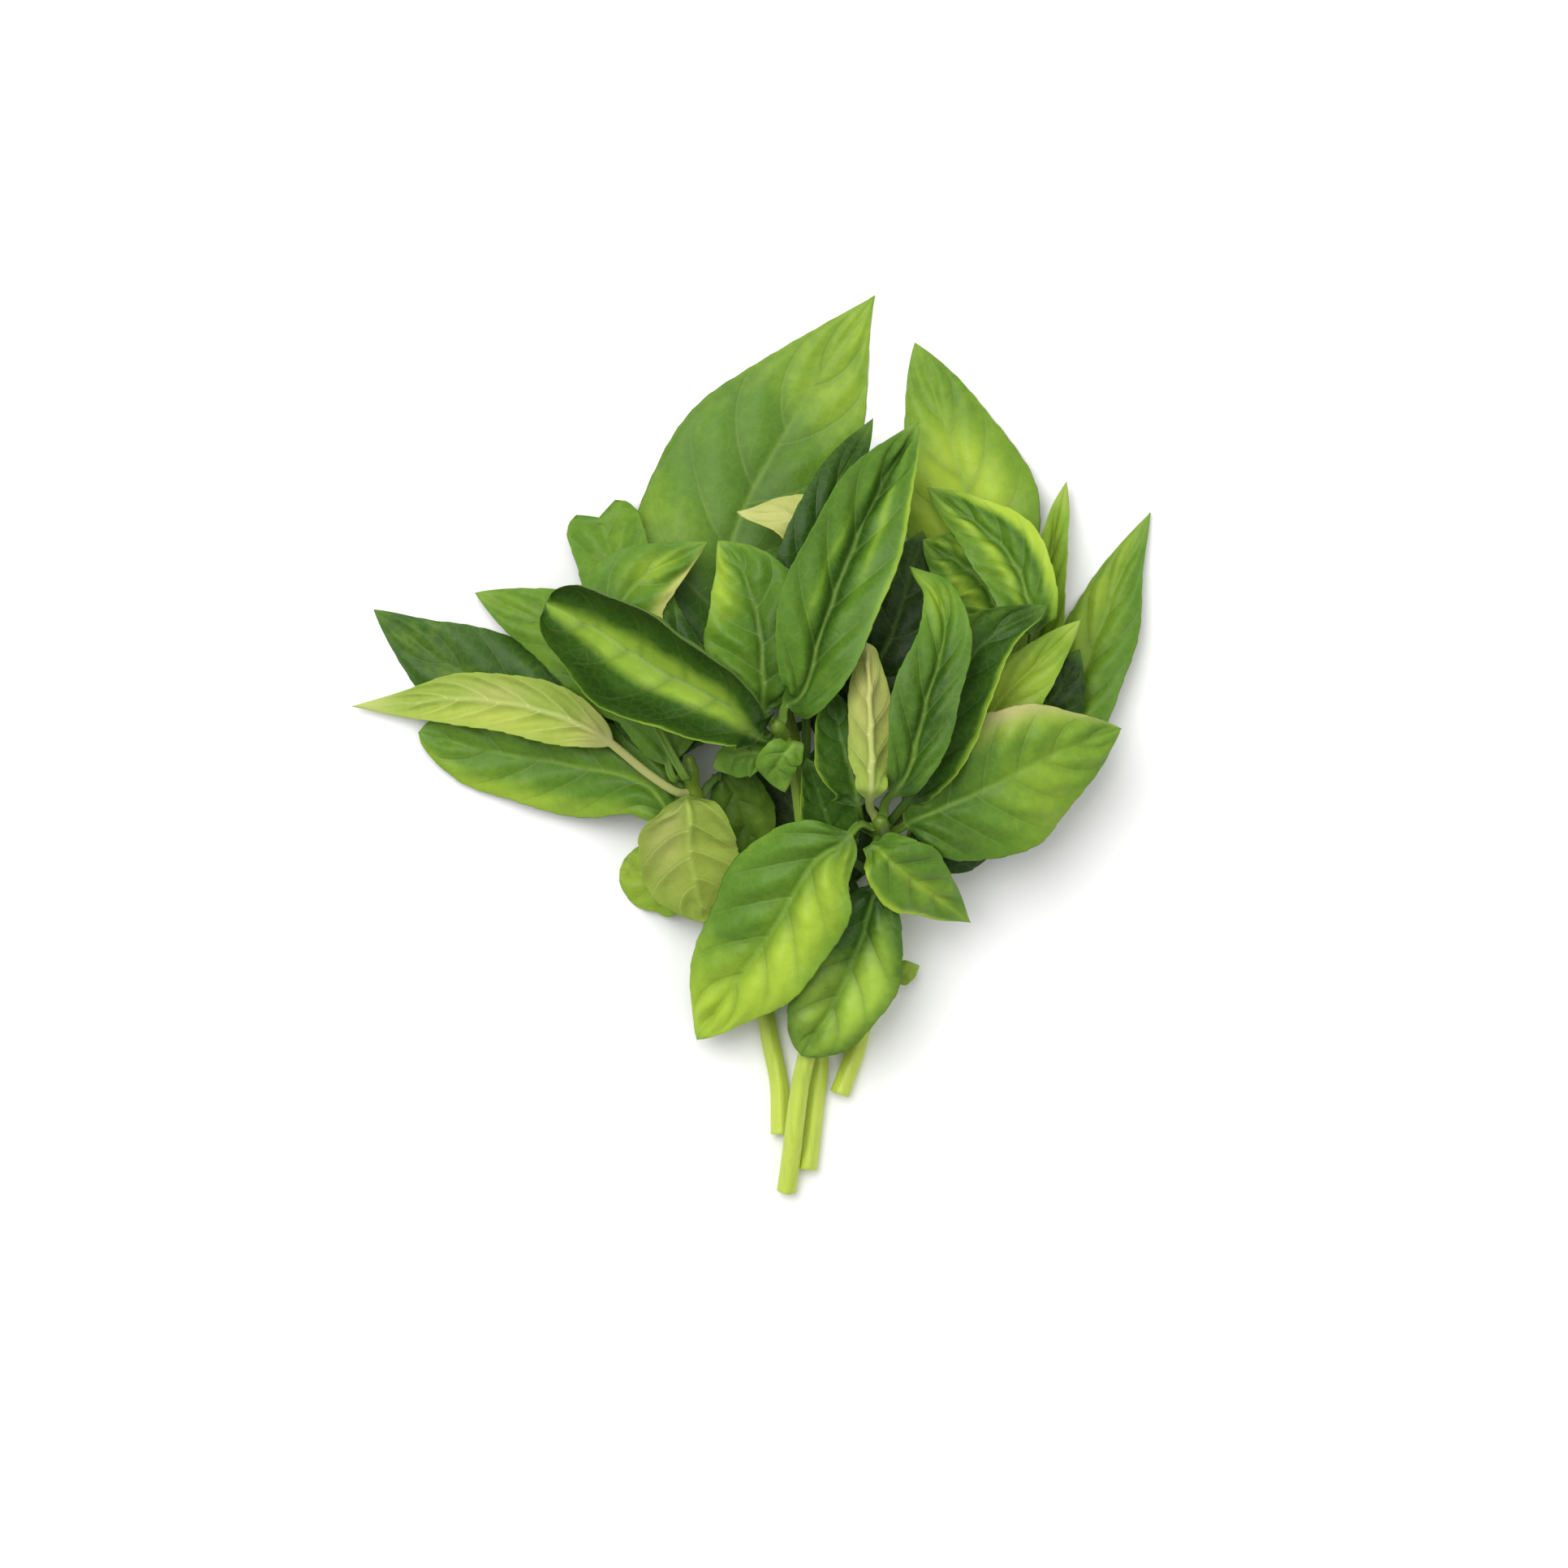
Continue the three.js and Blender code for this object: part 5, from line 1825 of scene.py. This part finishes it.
@dataclass
class Bunch:
    """The whole bunch: its stems and leaves, laid on each other."""

    stems: list
    under: list
    over: list

    def lay(self) -> None:
        """Grows each leaf from its stem and lays everything on the table in order."""
        by_name = {stem.name: stem for stem in self.stems}
        for leaf in [*self.under, *self.over]:
            leaf.grow_from(by_name[leaf.stem])
        pile = Pile()
        for leaf in self.under:
            pile.lay_leaf(leaf)
        for stem in self.stems:
            pile.lay_stem(stem)
        for leaf in self.over:
            pile.lay_leaf(leaf)

    def build(self) -> list:
        """Makes and dresses every piece.

        Returns:
            The finished objects.
        """
        self.lay()
        leaves = [*self.under, *self.over]
        sweep, relief, blade_group = SweepTree(), ReliefTree(), BladeGroup()
        stem_material = STEM_FINISH.material(StemGroup())
        leaf_materials = {tint: LEAF_FINISHES[tint].material(blade_group) for tint in Tint}
        made = []
        for stem in self.stems:
            joints = [leaf.at for leaf in leaves if leaf.stem == stem.name]
            spring = BRANCH_SPRING if stem.name == "branch" else None
            made.append(StemPiece(stem, joints, spring).build(sweep, stem_material))
        for seed, leaf in enumerate(leaves):
            made.append(LeafPiece(leaf, seed).build(relief, leaf_materials[leaf.tint]))
        return made


# ---- the studio ----
@dataclass(frozen=True)
class Lamp:
    """A soft square light that points at the middle of the table."""

    title: str
    place: tuple
    size: float
    power: float

    def hang(self) -> None:
        """Makes the light and points it."""
        data = bpy.data.lights.new(self.title, "AREA")
        data.shape = "SQUARE"
        data.size = self.size
        data.energy = self.power
        lamp = bpy.data.objects.new(self.title, data)
        lamp.location = self.place
        lamp.rotation_euler = (-Vector(self.place)).to_track_quat("-Z", "Y").to_euler()
        bpy.context.scene.collection.objects.link(lamp)


@dataclass
class Studio:
    """The pale table, the lights and the camera, in metres."""

    eye: tuple = (0.0068, -0.0084, 1.844)
    lens: float = 200.0
    sensor: float = 36.0
    clip: tuple = (0.05, 20.0)
    table: float = 6.0
    table_colour: tuple = (0.93, 0.93, 0.92)
    table_mottle: float = 0.985
    table_noise: Noise = Noise(9.0, 2.0)
    table_roughness: float = 0.9
    table_gloss: float = 0.1
    ambient: float = 0.5
    lamps: tuple = (
        Lamp("key", (-0.38, 0.45, 1.2), 1.1, 17.0),
        Lamp("fill", (0.9, 0.2, 1.2), 1.2, 4.0),
    )

    def table_material(self) -> bpy.types.Material:
        """Makes the pale, very slightly uneven finish of the table.

        Returns:
            The material.
        """
        made = bpy.data.materials.new("pale table")
        made.use_nodes = True
        wrap = ShaderTree(made.node_tree)
        shader = made.node_tree.nodes["Principled BSDF"]
        darker = tuple(self.table_mottle * part for part in self.table_colour)
        mottle = (wrap.noise(self.table_noise), (*darker, 1.0))
        colour = wrap.coats((*self.table_colour, 1.0), mottle)
        feed(made.node_tree, colour, shader.inputs["Base Color"])
        shader.inputs["Roughness"].default_value = self.table_roughness
        shader.inputs["Specular IOR Level"].default_value = self.table_gloss
        return made

    def spread_table(self) -> None:
        """Makes the table, which isn't part of the bunch."""
        edge = self.table / 2
        corners = [(-edge, -edge, 0), (edge, -edge, 0), (edge, edge, 0), (-edge, edge, 0)]
        mesh = bpy.data.meshes.new("table")
        mesh.from_pydata(corners, [], [(0, 1, 2, 3)])
        mesh.materials.append(self.table_material())
        table = bpy.data.objects.new("table", mesh)
        bpy.context.scene.collection.objects.link(table)

    def build(self) -> None:
        """Sets the scene up around the bunch."""
        scene = bpy.context.scene
        scene.view_settings.view_transform = "Standard"
        self.spread_table()
        scene.world = bpy.data.worlds.new("studio")
        scene.world.use_nodes = True
        sky = scene.world.node_tree.nodes["Background"]
        sky.inputs["Color"].default_value = (1.0, 1.0, 1.0, 1.0)
        sky.inputs["Strength"].default_value = self.ambient
        for lamp in self.lamps:
            lamp.hang()
        data = bpy.data.cameras.new("camera")
        data.lens = self.lens
        data.sensor_width = self.sensor
        data.clip_start, data.clip_end = self.clip
        scene.camera = bpy.data.objects.new("camera", data)
        scene.camera.location = self.eye
        scene.collection.objects.link(scene.camera)


def main() -> None:
    """Builds the bunch and the studio, and reports each piece."""
    logging.basicConfig(level=logging.INFO, format="%(name)s: %(message)s")
    pieces = Bunch(STEMS, UNDER, OVER).build()
    Studio().build()
    for piece in pieces:
        mesh = piece.data
        mesh.calc_loop_triangles()
        points, triangles = len(mesh.vertices), len(mesh.loop_triangles)
        LOG.info("%s: %d points, %d triangles", piece.name, points, triangles)
    LOG.info("%d pieces", len(pieces))


if __name__ == "__main__":
    main()
